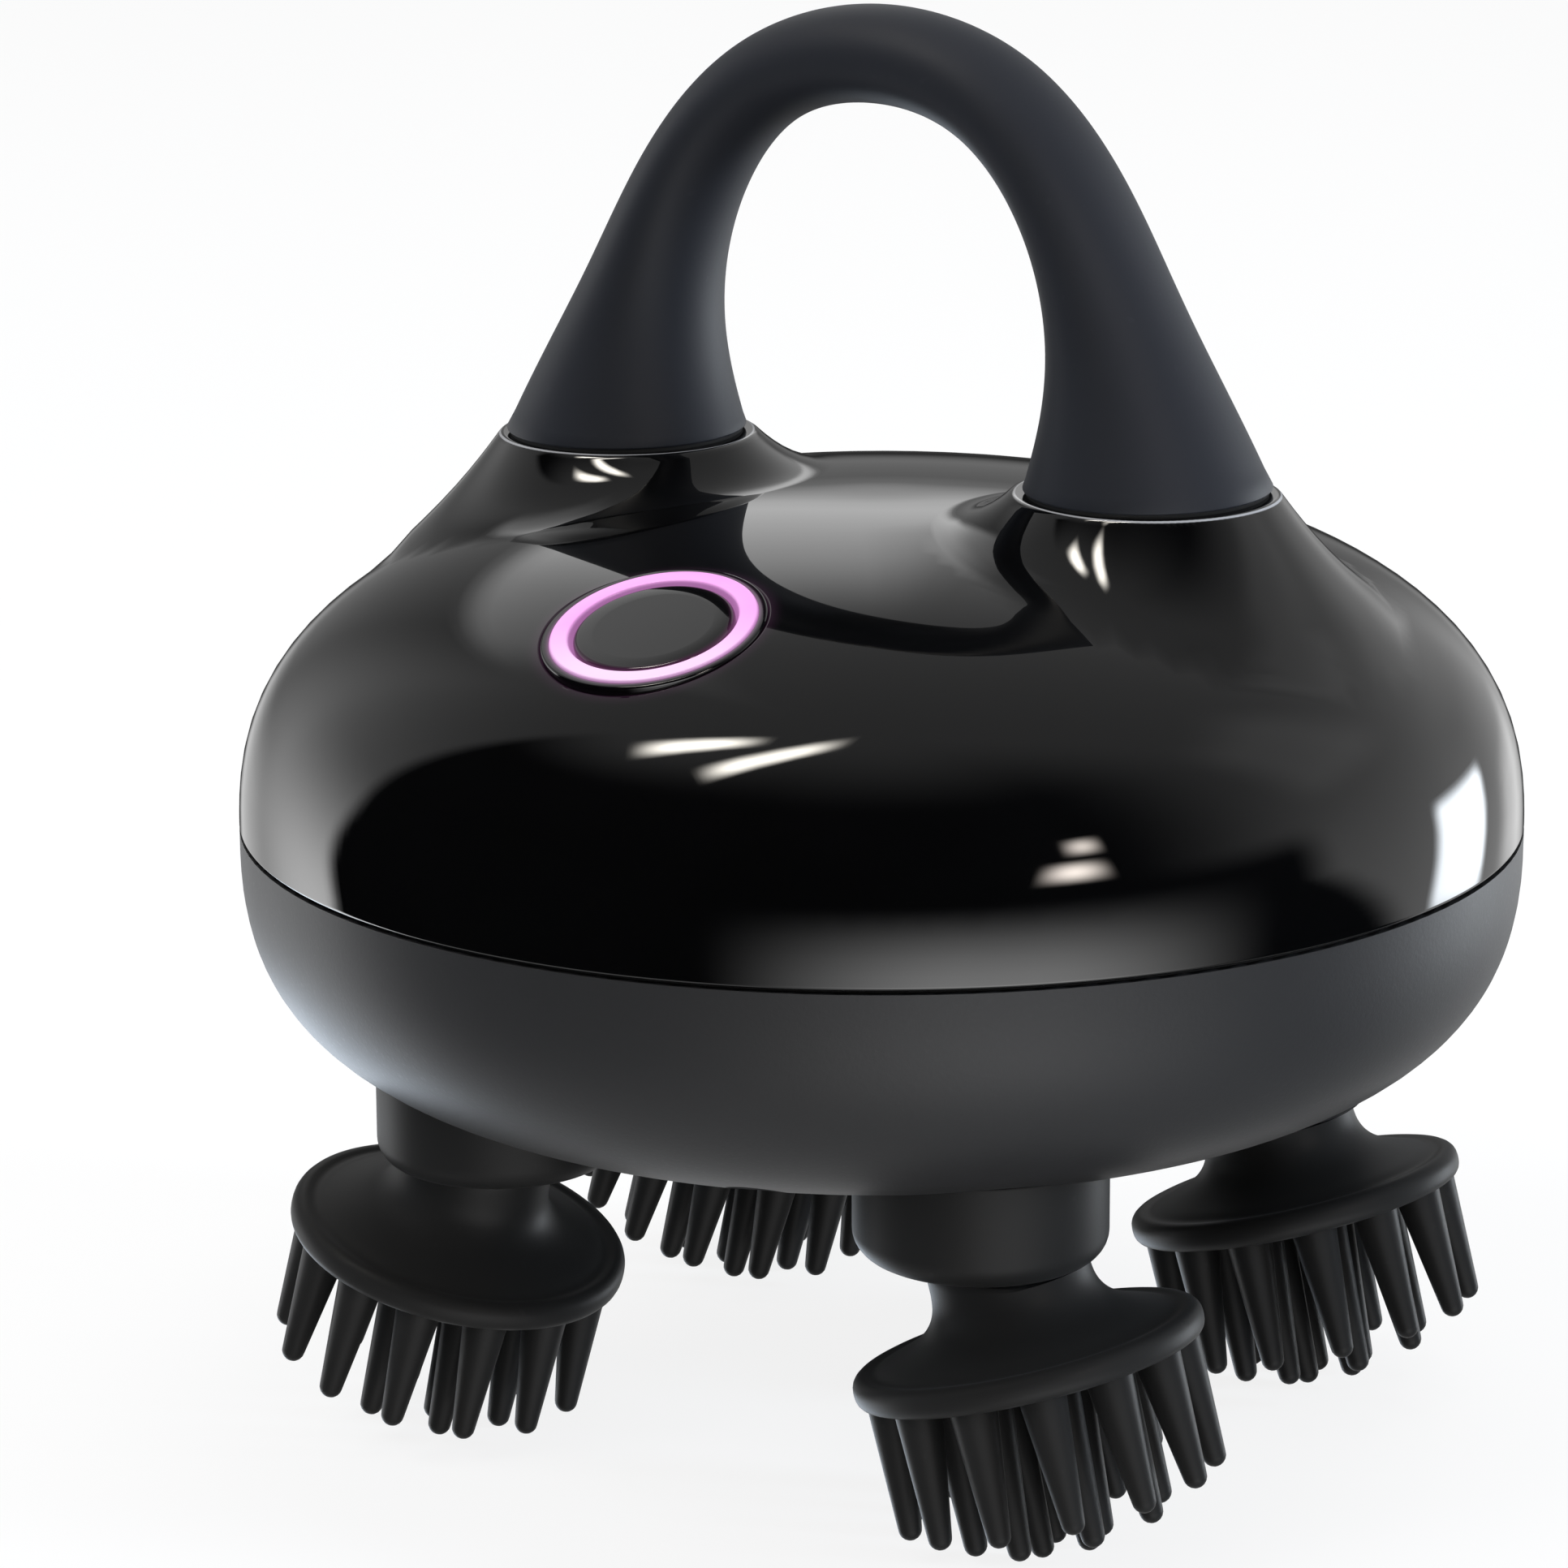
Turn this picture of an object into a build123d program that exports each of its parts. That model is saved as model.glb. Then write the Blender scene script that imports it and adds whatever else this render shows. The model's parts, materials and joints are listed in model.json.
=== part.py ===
"""Cordless electric scalp massager: round two-part shell, arched handle and four geared massage heads.

Millimetres, +Z up. The origin is on the body's axis, on the floor that the finger tips stand on.
X runs along the handle, and the button faces -Y.
"""

import os
from math import acos, atan2, cos, degrees, hypot, pi, radians, sin, sqrt, tan

from build123d import *

os.makedirs("parts", exist_ok=True)

# ---------------------------------------------------------------- clearances
SEAT_FIT = 0.02        # between a pressed or bonded piece and its seat
RUN_FIT = 0.05         # radial running clearance of a shaft, pin or plunger
FREE_GAP = 0.3         # between pieces that move past each other
THRUST_GAP = 0.2       # end play of the gears
TIP_GAP = 0.4          # past the end of a screw in a blind hole
PAST = 1.0             # how far cuts and posts run past the face they meet
HEX_SIDES = 6

# ---------------------------------------------------------------- body shells
BODY_R = 52.6          # widest radius, at the seam
DOME_H = 26.7          # crown of the dome above the seam
DOME_POWER = 2.468     # superellipse power of the dome
BOWL_H = 22.9          # depth of the bowl below the seam
BOWL_BAND = 0.6        # straight band under the seam
BOWL_POWER_R = 4.31    # superellipse powers of the bowl, across and down
BOWL_POWER_Z = 2.62
WALL = 2.2
SEAM_GAP = 0.3         # visible line between the shells
SKIRT = 6.0            # the dome is drawn this far past the seam, then trimmed
DOME_STEPS = 9         # spans of the dome's outline

# shoulders that carry the handle: a cone under each end, blended into the dome, cut off flat
SHOULDER_X = 24.6
SHOULDER_TOP = 30.65   # height at which the cone has the radius below
SHOULDER_FLAT = 9.5
SHOULDER_SLOPE = 1.35
SHOULDER_FOOT_H = 14.0 # the cone starts inside the dome
SHOULDER_PEAK_H = 37.0 # and runs on above the cut
SHOULDER_FILLET = 14.0
SEAT_H = 29.3          # flat where the handle seats
SEAT_WALL = 2.5        # extra wall under the seat

# seam gasket
GASKET_R = BODY_R - 1.2
GASKET_W = 1.0
GASKET_H = 1.15

# ---------------------------------------------------------------- handle
HANDLE_BASE_H = 29.84
HANDLE_BASE_THICK = 9.74
HANDLE_BASE_WIDE = 10.43
# x, height above seam, lean of the arch from upright, half thickness, half width across
HANDLE_STATIONS = [
    (22.0, 40.6, 17.5, 5.76, 7.12),
    (17.5, 51.8, 32.5, 3.95, 6.12),
    (10.6, 59.35, 58.5, 3.75, 5.85),
    (0.0, 62.3, 90.0, 3.9, 5.72),
]
GRIP_SKIN = 1.5        # soft skin over the handle's core
HANDLE_SCREW_Y = 4.5
HANDLE_SCREW_R = 1.45
HANDLE_SCREW_LENGTH = 11.0
HANDLE_SCREW_HEAD_R = 2.7
HANDLE_SCREW_HEAD_H = 1.8
SCREW_PAD_H = 25.4     # flat pads under the seat, for the screw heads
SCREW_PAD_R = 3.6

# ---------------------------------------------------------------- power button
BUTTON_Y = BODY_R - 18.6  # distance of the button from the body's axis
BUTTON_R = 6.35
BUTTON_PROUD = -0.2    # the dome falls away from this plane on every side
BUTTON_TRAVEL = 0.6
RING_R = 8.5           # light ring
RING_PROUD = -0.1
BEZEL_R = 8.9
BEZEL_PROUD = -0.3
BEZEL_FLANGE_R = 10.0
BEZEL_FLANGE_TOP = -3.9
BEZEL_FLANGE_T = 1.0
BEZEL_FLANGE_BORE = 7.1
KEEPER_R = 7.6         # collar that keeps the button from coming out
KEEPER_T = 0.7
STEM_R = 2.0
STEM_END = 0.6         # stem below the collar
CAP_WALL = 1.2
BUTTON_BOARD_TOP = -9.6
BUTTON_BOARD_R = 9.6
BUTTON_BOARD_EAR_X = 12.5
BUTTON_BOARD_EAR_W = 7.0
BOARD_T = 1.2
SWITCH_SIZE = 6.0
SWITCH_WELL = 1.0      # floor of the switch under its plunger
PLUNGER_R = 1.75
LED_COUNT = 6
LED_RING_R = 7.8
LED_SIZE = (1.8, 1.2, 0.7)
LED_WINDOW_R = 0.5
RING_EDGE = 0.3        # rounded edges of the light ring and the button
CAP_EDGE = 0.35
SWITCH_CORNER = 0.5

# ---------------------------------------------------------------- gears
PRESSURE_ANGLE = radians(20)
MODULE = 0.8           # spindle, pair and reduction pinion
FINE_MODULE = 0.5      # motor pinion and reduction wheel
SPINDLE_TEETH = 36
PAIR_TEETH = 28
REDUCTION_TEETH = 14
WHEEL_TEETH = 46
MOTOR_TEETH = 12
ADDENDUM = 0.9         # in modules
DEDENDUM = 1.2
BACKLASH = 0.12        # tooth thinning in modules, each gear
FLANK_POINTS = 5
GEAR_BOTTOM = -9.2
GEAR_T = 4.0
WHEEL_BOTTOM = -4.6
WHEEL_T = 2.0
PINION_T = 2.6
SPINDLE_HUB_R = 5.5
PAIR_HUB_R = 3.8
GEAR_WINDOWS = 6
GEAR_WINDOW_R = 2.2

# ---------------------------------------------------------------- gearbox
PLATE_HALF = 32.0
PLATE_CORNER = 10.0
GEARBOX_POST_R = 2.6   # posts of the bowl under the gearbox
PLATE_T = 2.0
BASE_BOTTOM = -12.4
COVER_BOTTOM = -1.8
SPACER_R = 2.2
SPACERS = [(26.5, 0.0), (-26.5, 0.0), (0.0, 29.2), (0.0, -29.2)]
GEARBOX_SCREW_R = 1.1
GEARBOX_SCREW_LENGTH = 16.0
GEARBOX_SCREW_HEAD_R = 2.1
GEARBOX_SCREW_HEAD_H = 1.4
AXLE_R = 2.0
REDUCTION_AXLE_R = 1.5
AXLE_BOSS_R = 3.5
BUSH_R = 4.6
BUSH_FLANGE_R = 6.0
BUSH_FLANGE_T = 1.0
SPINDLE_R = 3.0
SPINDLE_EDGE = 0.3

# ---------------------------------------------------------------- motor
MOTOR_R = 12.0
MOTOR_WALL = 1.2
MOTOR_H = 19.0
MOTOR_CAP_T = 1.5
MOTOR_BOSS_R = 3.2
MOTOR_BOSS_H = 1.0
MOTOR_SHAFT_R = 1.0
ARMATURE_R = 9.6
ARMATURE_BOTTOM = 4.0
ARMATURE_TOP = 16.5
COMMUTATOR_R = 3.0
COMMUTATOR_H = 2.0
ARMATURE_SLOTS = 5
ARMATURE_SLOT = (3.0, 1.2)
TERMINAL_SIZE = (2.2, 1.6, 1.2)
MOTOR_SCREW_PCD_R = 8.0
MOTOR_SCREW_ANGLES = (-135, -45)

# ---------------------------------------------------------------- small screws, all one size
SMALL_SCREW_R = 1.0
SMALL_SCREW_LENGTH = 5.0
SMALL_SCREW_HEAD_R = 1.9
SMALL_SCREW_HEAD_H = 1.2

# ---------------------------------------------------------------- electronics
MAIN_BOARD_BOTTOM = 3.0
MAIN_BOARD_HALF_X = 22.0
MAIN_BOARD_Y = (-34.0, -15.0)
MAIN_BOARD_T = 1.6
MAIN_BOARD_CORNER = 1.5
CHIP_CORNER = 0.3
CONNECTOR_X = 16.5     # the two lead connectors
CONNECTOR_SIZE = (3.0, 5.0)
CONNECTOR_H = 2.2
MAIN_BOARD_POSTS = [(x, y) for x in (-19.0, 19.0) for y in (-31.0, -17.8)]
STANDOFF_R = 2.2
BATTERY_R = 7.0
BATTERY_LENGTH = 50.5
BATTERY_Y = 24.5
BATTERY_NUB_R = 2.6
BATTERY_NUB_H = 1.0
BATTERY_EDGE = 0.4
CRADLE_WALL = 1.2
CRADLE_CORNER = 2.0
CRADLE_FLOOR = 0.9
CRADLE_H = 8.0
CRADLE_GAP = 0.2
LEAD_R = 0.55

# the battery leads swing out past the cradle's ends, run forward and turn in to the connectors
LEAD_TAB_H = 3.85      # above the cell's axis
LEAD_SWING = 4.85
LEAD_TURN_Y = -12.0
LEAD_TURN_H = 9.0
LEAD_TURN_IN = 5.0
LEAD_END_H = 1.3       # above the board
BATTERY_LEAD_BEND = 3.0
MOTOR_LEAD_BEND = 2.0
MOTOR_LEAD_FRONT_Y = -15.0
MOTOR_PAD = (9.5, -17.8)
MOTOR_LEAD_TURN_H = 13.0

# charge port at the back of the bowl
PORT_H = -8.5
SOCKET_SIZE = (8.94, 7.3, 3.2)
SOCKET_WALL = 0.35
SOCKET_FRONT_Y = BODY_R - 3.7
SOCKET_BACK_T = 1.0
TONGUE_SIZE = (6.6, 0.7)
TONGUE_INSET = 0.8
PORT_CLEARANCE = 0.35
FLAP_SIZE = (14.6, 7.6)
FLAP_CORNER = 2.4
FLAP_T = 1.4
FLAP_GAP = 0.2
FLAP_PLUG = (8.0, 2.6)
FLAP_PLUG_H = 1.2
CHARGE_BOARD_HALF_X = 8.0
CHARGE_BOARD_Y = (SOCKET_FRONT_Y - 7.5, SOCKET_FRONT_Y - 2.1)
CHARGE_POSTS = [(x, SOCKET_FRONT_Y - 5.5) for x in (-6.0, 6.0)]

# ---------------------------------------------------------------- shell screws
SHELL_SCREWS = [
    (BODY_R - 12.6, 0.0),
    (12.6 - BODY_R, 0.0),
    (12.0, 14.0 - BODY_R),
    (-12.0, 14.0 - BODY_R),
    (0.0, BODY_R - 15.6),
]
POST_R = 3.0
POST_JOINT_H = -5.0    # the posts of both shells meet here
SHELL_SCREW_R = 1.25
SHELL_SCREW_LENGTH = 14.0
SHELL_SCREW_HEAD_R = 2.1
SHELL_SCREW_HEAD_H = 1.6
SHELL_SCREW_SEAT_H = -12.0

# ---------------------------------------------------------------- spindles and massage heads
CUP_R = 10.1
CUP_BOTTOM = -27.6
CUP_TOP = -18.9
CUP_EDGE = 2.2
SEAL_R = 7.5
SEAL_H = 3.2
TOWER_WALL = 2.0
TOWER_TOP_T = 1.0
SPINDLE_TOP = 0.5
SPINDLE_DEPTH = 4.6    # how far the spindle is pressed into the cup
PIVOT_H = -19.6        # where the tilted head axis crosses the spindle's axis
TILT = radians(15.7)
DRIVE_POST_R = 3.9     # six-sided post, across its corners
DRIVE_POST_START = 4.0 # distances along the tilted axis, from the pivot
DRIVE_POST_END = 15.0
DRIVE_POST_FIT = 0.06  # across the corners
NECK_R = 6.4
NECK_END = 9.8
FLARE_MIDDLE = (8.3, 13.0)
FLARE_R = 12.3
FLARE_END = 14.6
RIM_R = 14.1
RIM_TOP = 14.94
RIM_BOTTOM = 17.26
RIM_TOP_EDGE = (0.25, 0.5)
RIM_BOTTOM_EDGE = 0.6
CORE_TUBE_R = 5.2
CORE_FLANGE_R = 10.5
CORE_FLANGE = (14.9, 16.0)
CORE_BORE_END = 15.2
FINGER_BASE_R = 1.9
FINGER_TIP_R = 0.95
FINGER_ROOT = 0.6      # sunk into the rim
# number of fingers, ring radius at the base and at the tips, height below the rim, first turn
FINGER_RINGS = [
    (13, 11.5, 12.43, 10.9, 0.0),
    (8, 7.0, 7.75, 13.4, 0.0),
    (4, 3.0, 2.75, 14.8, radians(30)),
]

# ================================================================ derived places

SPACING = MODULE * (SPINDLE_TEETH + PAIR_TEETH) / 2
PAIR_X = MODULE * PAIR_TEETH / 2
# the spindles stand on a square, each at the gear spacing from its pair gear
SPINDLE_X = (PAIR_X + sqrt(2 * SPACING**2 - PAIR_X**2)) / 2
PINION_SPACING = MODULE * (PAIR_TEETH + REDUCTION_TEETH) / 2
WHEEL_SPACING = FINE_MODULE * (WHEEL_TEETH + MOTOR_TEETH) / 2
REDUCTION_X = (PINION_SPACING**2 - WHEEL_SPACING**2 - PAIR_X**2) / (2 * PAIR_X)
REDUCTION_Y = sqrt(WHEEL_SPACING**2 - REDUCTION_X**2)

CORNERS = [
    ("front_left", -1, -1),
    ("front_right", 1, -1),
    ("back_left", -1, 1),
    ("back_right", 1, 1),
]
SPINDLES = [(side * SPINDLE_X, depth * SPINDLE_X) for _, side, depth in CORNERS]


def finger_lines():
    """Base and tip of every finger in the frame of its head, the z axis running down the head."""
    lines = []
    for count, base_r, tip_r, reach, first in FINGER_RINGS:
        for index in range(count):
            turn = first + 2 * pi * index / count
            base = Vector(base_r * cos(turn), base_r * sin(turn), RIM_BOTTOM)
            tip = Vector(tip_r * cos(turn), tip_r * sin(turn), RIM_BOTTOM + reach)
            lines.append((base, tip))
    return lines


def lowest_finger():
    """Height of the lowest finger tip, relative to the seam."""
    heights = []
    for base, tip in finger_lines():
        centre = tip - (tip - base).normalized() * FINGER_TIP_R
        heights.append(PIVOT_H - centre.Z * cos(TILT) + centre.X * sin(TILT) - FINGER_TIP_R)
    return min(heights)


SEAM_Z = -lowest_finger()
SECTION = Plane(origin=(0, 0, SEAM_Z), x_dir=(1, 0, 0), z_dir=(0, -1, 0))


def level(height):
    """Horizontal plane at a height above the seam."""
    return Plane.XY.offset(SEAM_Z + height)


def disc(radius, bottom, top, places=((0, 0),), bore=0, mode=Mode.ADD):
    """Upright discs or rings between two heights above the seam."""
    with BuildSketch(level(bottom)) as outline:
        with Locations(*places):
            Circle(radius)
            if bore:
                Circle(bore, mode=Mode.SUBTRACT)
    extrude(outline.sketch, amount=top - bottom, mode=mode)


def ring_at(plane, radius, bottom, top, bore=0, mode=Mode.ADD):
    """Disc or ring along the axis of a plane."""
    with BuildSketch(plane.offset(bottom)) as outline:
        Circle(radius)
        if bore:
            Circle(bore, mode=Mode.SUBTRACT)
    extrude(outline.sketch, amount=top - bottom, mode=mode)


def screw_set(radius, length, head_r, head_h, seat, places):
    """Screws from one seat height: shanks up and heads down, or the other way where negative."""
    disc(head_r, seat - head_h, seat, places)
    disc(radius, seat, seat + length, places)
    with BuildSketch(level(seat - head_h)) as recess:
        with Locations(*places):
            RegularPolygon(head_r / 2, HEX_SIDES)
    extrude(recess.sketch, amount=head_h / 2, mode=Mode.SUBTRACT)


def save(part, name):
    """Label a finished piece and write it as its own file."""
    part.label = name
    export_step(part, f"parts/{name}.step")


# ================================================================ shell surfaces


def dome_point(angle, inset):
    """Radius and height of the dome's outline, at an angle from its crown."""
    across = sin(angle) / (BODY_R - inset)
    up = abs(cos(angle)) / (DOME_H - inset)
    reach = (across**DOME_POWER + up**DOME_POWER) ** (-1 / DOME_POWER)
    return reach * sin(angle), reach * cos(angle)


def dome_solid(inset, drop, peak, fillet_r=0):
    """Solid of the dome and its two shoulders, inset from the outside, down to the skirt."""
    radius = BODY_R - inset
    outline = [dome_point(pi / 2 * step / DOME_STEPS, inset) for step in range(DOME_STEPS + 1)]
    points = [(r, SEAM_Z + h) for r, h in outline]
    flat = SHOULDER_FLAT - inset * (hypot(1, SHOULDER_SLOPE) - 1) / SHOULDER_SLOPE
    foot = SEAM_Z + SHOULDER_FOOT_H - inset - drop
    with BuildSketch(Plane.YZ) as half_section:
        with BuildLine():
            Spline(points, tangents=((1, 0), (0, -1)))
            Polyline(points[-1], (radius, SEAM_Z - SKIRT), (0, SEAM_Z - SKIRT), points[0])
        make_face()
    with BuildPart() as solid:
        revolve(half_section.sketch, axis=Axis.Z)
        with Locations((-SHOULDER_X, 0, foot), (SHOULDER_X, 0, foot)):
            Cone(
                flat + (SHOULDER_TOP - SHOULDER_FOOT_H) / SHOULDER_SLOPE,
                flat - (peak - SHOULDER_TOP) / SHOULDER_SLOPE,
                peak - SHOULDER_FOOT_H,
                align=(Align.CENTER, Align.CENTER, Align.MIN),
            )
        if fillet_r:
            rims = solid.edges().filter_by(GeomType.BSPLINE).filter_by(lambda edge: edge.is_closed)
            fillet(rims, fillet_r)
    return solid.part


def bowl_solid(inset, top, mode=Mode.ADD):
    """Turned solid of the bowl up to a height, inset from the outside."""
    radius, depth = BODY_R - inset, BOWL_H - inset
    shares = [0, 0.35, 0.55, 0.7, 0.81, 0.89, 0.945, 0.978, 0.995, 1]
    points = []
    for share in shares:
        fall = (1 - share**BOWL_POWER_R) ** (1 / BOWL_POWER_Z)
        points.append((radius * share, -BOWL_BAND - (depth - BOWL_BAND) * fall))
    with BuildSketch(SECTION) as half_section:
        with BuildLine():
            Spline(points, tangents=((1, 0), (0, 1)))
            Polyline(points[-1], (radius, top), (0, top), points[0])
        make_face()
    revolve(half_section.sketch, axis=Axis.Z, mode=mode)


outer_dome = dome_solid(0, 0, SHOULDER_PEAK_H, SHOULDER_FILLET)
middle_dome = dome_solid(WALL / 2, SEAT_WALL / 3, SHOULDER_TOP)
inner_dome = dome_solid(WALL, SEAT_WALL, SHOULDER_TOP)

# ================================================================ local planes

# the angle from the crown at which the dome passes the button's centre
button_angle = atan2(BUTTON_Y, DOME_H * (1 - (BUTTON_Y / BODY_R) ** DOME_POWER) ** (1 / DOME_POWER))
button_r, button_h = dome_point(button_angle, 0)
button_slope = DOME_H / BODY_R * (
    (button_r / BODY_R) ** (DOME_POWER - 1) / (button_h / DOME_H) ** (DOME_POWER - 1)
)
button_tilt = atan2(button_slope, 1)
BUTTON_PLANE = Plane(
    origin=(0, -button_r, SEAM_Z + button_h),
    x_dir=(1, 0, 0),
    z_dir=(0, -sin(button_tilt), cos(button_tilt)),
)
BUTTON_AXIS = Axis(BUTTON_PLANE.origin, BUTTON_PLANE.z_dir)


def bowl_radius(height):
    """Outer radius of the bowl at a height above the seam (negative below it)."""
    fall = (-height - BOWL_BAND) / (BOWL_H - BOWL_BAND)
    return BODY_R * (1 - fall**BOWL_POWER_Z) ** (1 / BOWL_POWER_R)


port_half = FLAP_SIZE[1] / 2
port_lean = atan2(bowl_radius(PORT_H + port_half) - bowl_radius(PORT_H - port_half), FLAP_SIZE[1])
PORT_PLANE = Plane(
    origin=(0, bowl_radius(PORT_H), SEAM_Z + PORT_H),
    x_dir=(-1, 0, 0),
    z_dir=(0, cos(port_lean), -sin(port_lean)),
)
SOCKET_PLANE = Plane(
    origin=(0, SOCKET_FRONT_Y, SEAM_Z + PORT_H), x_dir=(-1, 0, 0), z_dir=(0, 1, 0)
)


def head_plane(side, depth):
    """Plane at a head's pivot: z runs down the tilted axis, x leans outward."""
    return Plane(
        origin=(side * SPINDLE_X, depth * SPINDLE_X, SEAM_Z + PIVOT_H),
        x_dir=(side * cos(TILT), 0, sin(TILT)),
        z_dir=(side * sin(TILT), 0, -cos(TILT)),
    )


# ================================================================ upper shell

button_posts = [(-BUTTON_BOARD_EAR_X, 0), (BUTTON_BOARD_EAR_X, 0)]
handle_screws_xy = [
    (side * SHOULDER_X, across * HANDLE_SCREW_Y) for side in (-1, 1) for across in (-1, 1)
]

with BuildPart() as shell_posts:
    disc(POST_R, POST_JOINT_H, DOME_H, SHELL_SCREWS)
    disc(SCREW_PAD_R, SCREW_PAD_H, SEAT_H - PAST, handle_screws_xy)
    with BuildSketch(BUTTON_PLANE.offset(BUTTON_BOARD_TOP)):
        with Locations(*button_posts):
            Circle(STANDOFF_R)
    extrude(amount=-BUTTON_BOARD_TOP)
    add(middle_dome, mode=Mode.INTERSECT)

with BuildPart() as upper_shell:
    add(outer_dome)
    add(inner_dome, mode=Mode.SUBTRACT)
    split(bisect_by=level(SEAM_GAP / 2), keep=Keep.TOP)
    with BuildSketch(level(SEAT_H)):
        Circle(BODY_R)
    extrude(amount=DOME_H, mode=Mode.SUBTRACT)
    add(shell_posts.part)
    ring_at(BUTTON_PLANE, BEZEL_R + RUN_FIT, BEZEL_FLANGE_TOP, DOME_H, mode=Mode.SUBTRACT)
    disc(
        SHELL_SCREW_R + SEAT_FIT,
        POST_JOINT_H,
        SHELL_SCREW_SEAT_H + SHELL_SCREW_LENGTH + TIP_GAP,
        SHELL_SCREWS,
        mode=Mode.SUBTRACT,
    )
    disc(HANDLE_SCREW_R + FREE_GAP, SCREW_PAD_H, SEAT_H, handle_screws_xy, mode=Mode.SUBTRACT)
    with BuildSketch(BUTTON_PLANE.offset(BUTTON_BOARD_TOP)):
        with Locations(*button_posts):
            Circle(SMALL_SCREW_R + SEAT_FIT)
    extrude(amount=SMALL_SCREW_LENGTH - BOARD_T + TIP_GAP, mode=Mode.SUBTRACT)
save(upper_shell.part, "upper_shell")

# ================================================================ lower shell

tower_r = CUP_R + FREE_GAP + TOWER_WALL
seal_bottom = CUP_TOP + FREE_GAP
seal_top = seal_bottom + SEAL_H
gearbox_screw_end = COVER_BOTTOM + PLATE_T - GEARBOX_SCREW_LENGTH
charge_board_top = PORT_H - SOCKET_SIZE[2] / 2 - SEAT_FIT

with BuildPart() as flap_recess:
    bowl_solid(0, 0)
    bowl_solid(FLAP_T + FLAP_GAP / 2, PAST, mode=Mode.SUBTRACT)
    with BuildSketch(PORT_PLANE.offset(-2 * WALL)):
        RectangleRounded(FLAP_SIZE[0] + 2 * FLAP_GAP, FLAP_SIZE[1] + 2 * FLAP_GAP, FLAP_CORNER)
    extrude(amount=4 * WALL, mode=Mode.INTERSECT)

with BuildPart() as lower_shell:
    bowl_solid(0, -SEAM_GAP / 2)
    bowl_solid(WALL, PAST, mode=Mode.SUBTRACT)
    disc(tower_r, -BOWL_H, seal_top + TOWER_TOP_T, SPINDLES)
    disc(POST_R, -BOWL_H, POST_JOINT_H - SEAT_FIT, SHELL_SCREWS)
    disc(GEARBOX_POST_R, -BOWL_H, BASE_BOTTOM - SEAT_FIT, SPACERS)
    disc(STANDOFF_R, -BOWL_H, charge_board_top - BOARD_T - SEAT_FIT, CHARGE_POSTS)
    bowl_solid(0, 0, mode=Mode.INTERSECT)
    disc(CUP_R + FREE_GAP, -BOWL_H - PAST, seal_bottom, SPINDLES, mode=Mode.SUBTRACT)
    disc(SEAL_R, seal_bottom, seal_top, SPINDLES, mode=Mode.SUBTRACT)
    disc(SPINDLE_R + 2 * FREE_GAP, seal_top, seal_top + TOWER_TOP_T, SPINDLES, mode=Mode.SUBTRACT)
    disc(SHELL_SCREW_R + FREE_GAP, -BOWL_H, POST_JOINT_H, SHELL_SCREWS, mode=Mode.SUBTRACT)
    disc(
        SHELL_SCREW_HEAD_R + FREE_GAP,
        -BOWL_H - PAST,
        SHELL_SCREW_SEAT_H,
        SHELL_SCREWS,
        mode=Mode.SUBTRACT,
    )
    disc(
        GEARBOX_SCREW_R + SEAT_FIT,
        gearbox_screw_end - TIP_GAP,
        BASE_BOTTOM,
        SPACERS,
        mode=Mode.SUBTRACT,
    )
    disc(
        GASKET_R + GASKET_W / 2 + SEAT_FIT,
        SEAM_GAP / 2 - GASKET_H - SEAT_FIT,
        0,
        bore=GASKET_R - GASKET_W / 2 - SEAT_FIT,
        mode=Mode.SUBTRACT,
    )
    add(flap_recess.part, mode=Mode.SUBTRACT)
    with BuildSketch(SOCKET_PLANE.offset(-WALL)):
        SlotOverall(SOCKET_SIZE[0] + 2 * PORT_CLEARANCE, SOCKET_SIZE[2] + 2 * PORT_CLEARANCE)
    extrude(amount=4 * WALL, mode=Mode.SUBTRACT)
save(lower_shell.part, "lower_shell")

with BuildPart() as seam_gasket:
    disc(
        GASKET_R + GASKET_W / 2,
        SEAM_GAP / 2 - GASKET_H,
        SEAM_GAP / 2,
        bore=GASKET_R - GASKET_W / 2,
    )
save(seam_gasket.part, "seam_gasket")

with BuildPart() as shell_screws:
    screw_set(
        SHELL_SCREW_R,
        SHELL_SCREW_LENGTH,
        SHELL_SCREW_HEAD_R,
        SHELL_SCREW_HEAD_H,
        SHELL_SCREW_SEAT_H,
        SHELL_SCREWS,
    )
save(shell_screws.part, "shell_screws")

# ================================================================ handle


def station_plane(x, height, lean):
    """Plane across the handle's arch."""
    turn = radians(lean)
    return Plane(
        origin=(x, 0, SEAM_Z + height),
        x_dir=(cos(turn), 0, sin(turn)),
        z_dir=(-sin(turn), 0, cos(turn)),
    )


def handle_loft(inset):
    """Arch of elliptical sections from the right end over the top to the left end."""
    base = (SHOULDER_X, HANDLE_BASE_H, 0.0, HANDLE_BASE_THICK, HANDLE_BASE_WIDE)
    right = [base, *HANDLE_STATIONS]
    left = [(-x, h, 180 - lean, thick, wide) for x, h, lean, thick, wide in reversed(right[:-1])]
    sections = []
    for x, height, lean, thick, wide in right + left:
        with BuildSketch(station_plane(x, height, lean)) as section:
            Ellipse(thick - inset, wide - inset)
        sections.append(section.sketch.face())
    loft(sections)


with BuildPart() as handle_core:
    handle_loft(GRIP_SKIN + SEAT_FIT)
    disc(
        HANDLE_SCREW_R + SEAT_FIT,
        HANDLE_BASE_H,
        SCREW_PAD_H + HANDLE_SCREW_LENGTH + TIP_GAP,
        handle_screws_xy,
        mode=Mode.SUBTRACT,
    )
save(handle_core.part, "handle_core")

with BuildPart() as grip_bore:
    handle_loft(GRIP_SKIN)

with BuildPart() as handle_grip:
    handle_loft(0)
    add(grip_bore.part, mode=Mode.SUBTRACT)
save(handle_grip.part, "handle_grip")

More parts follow.
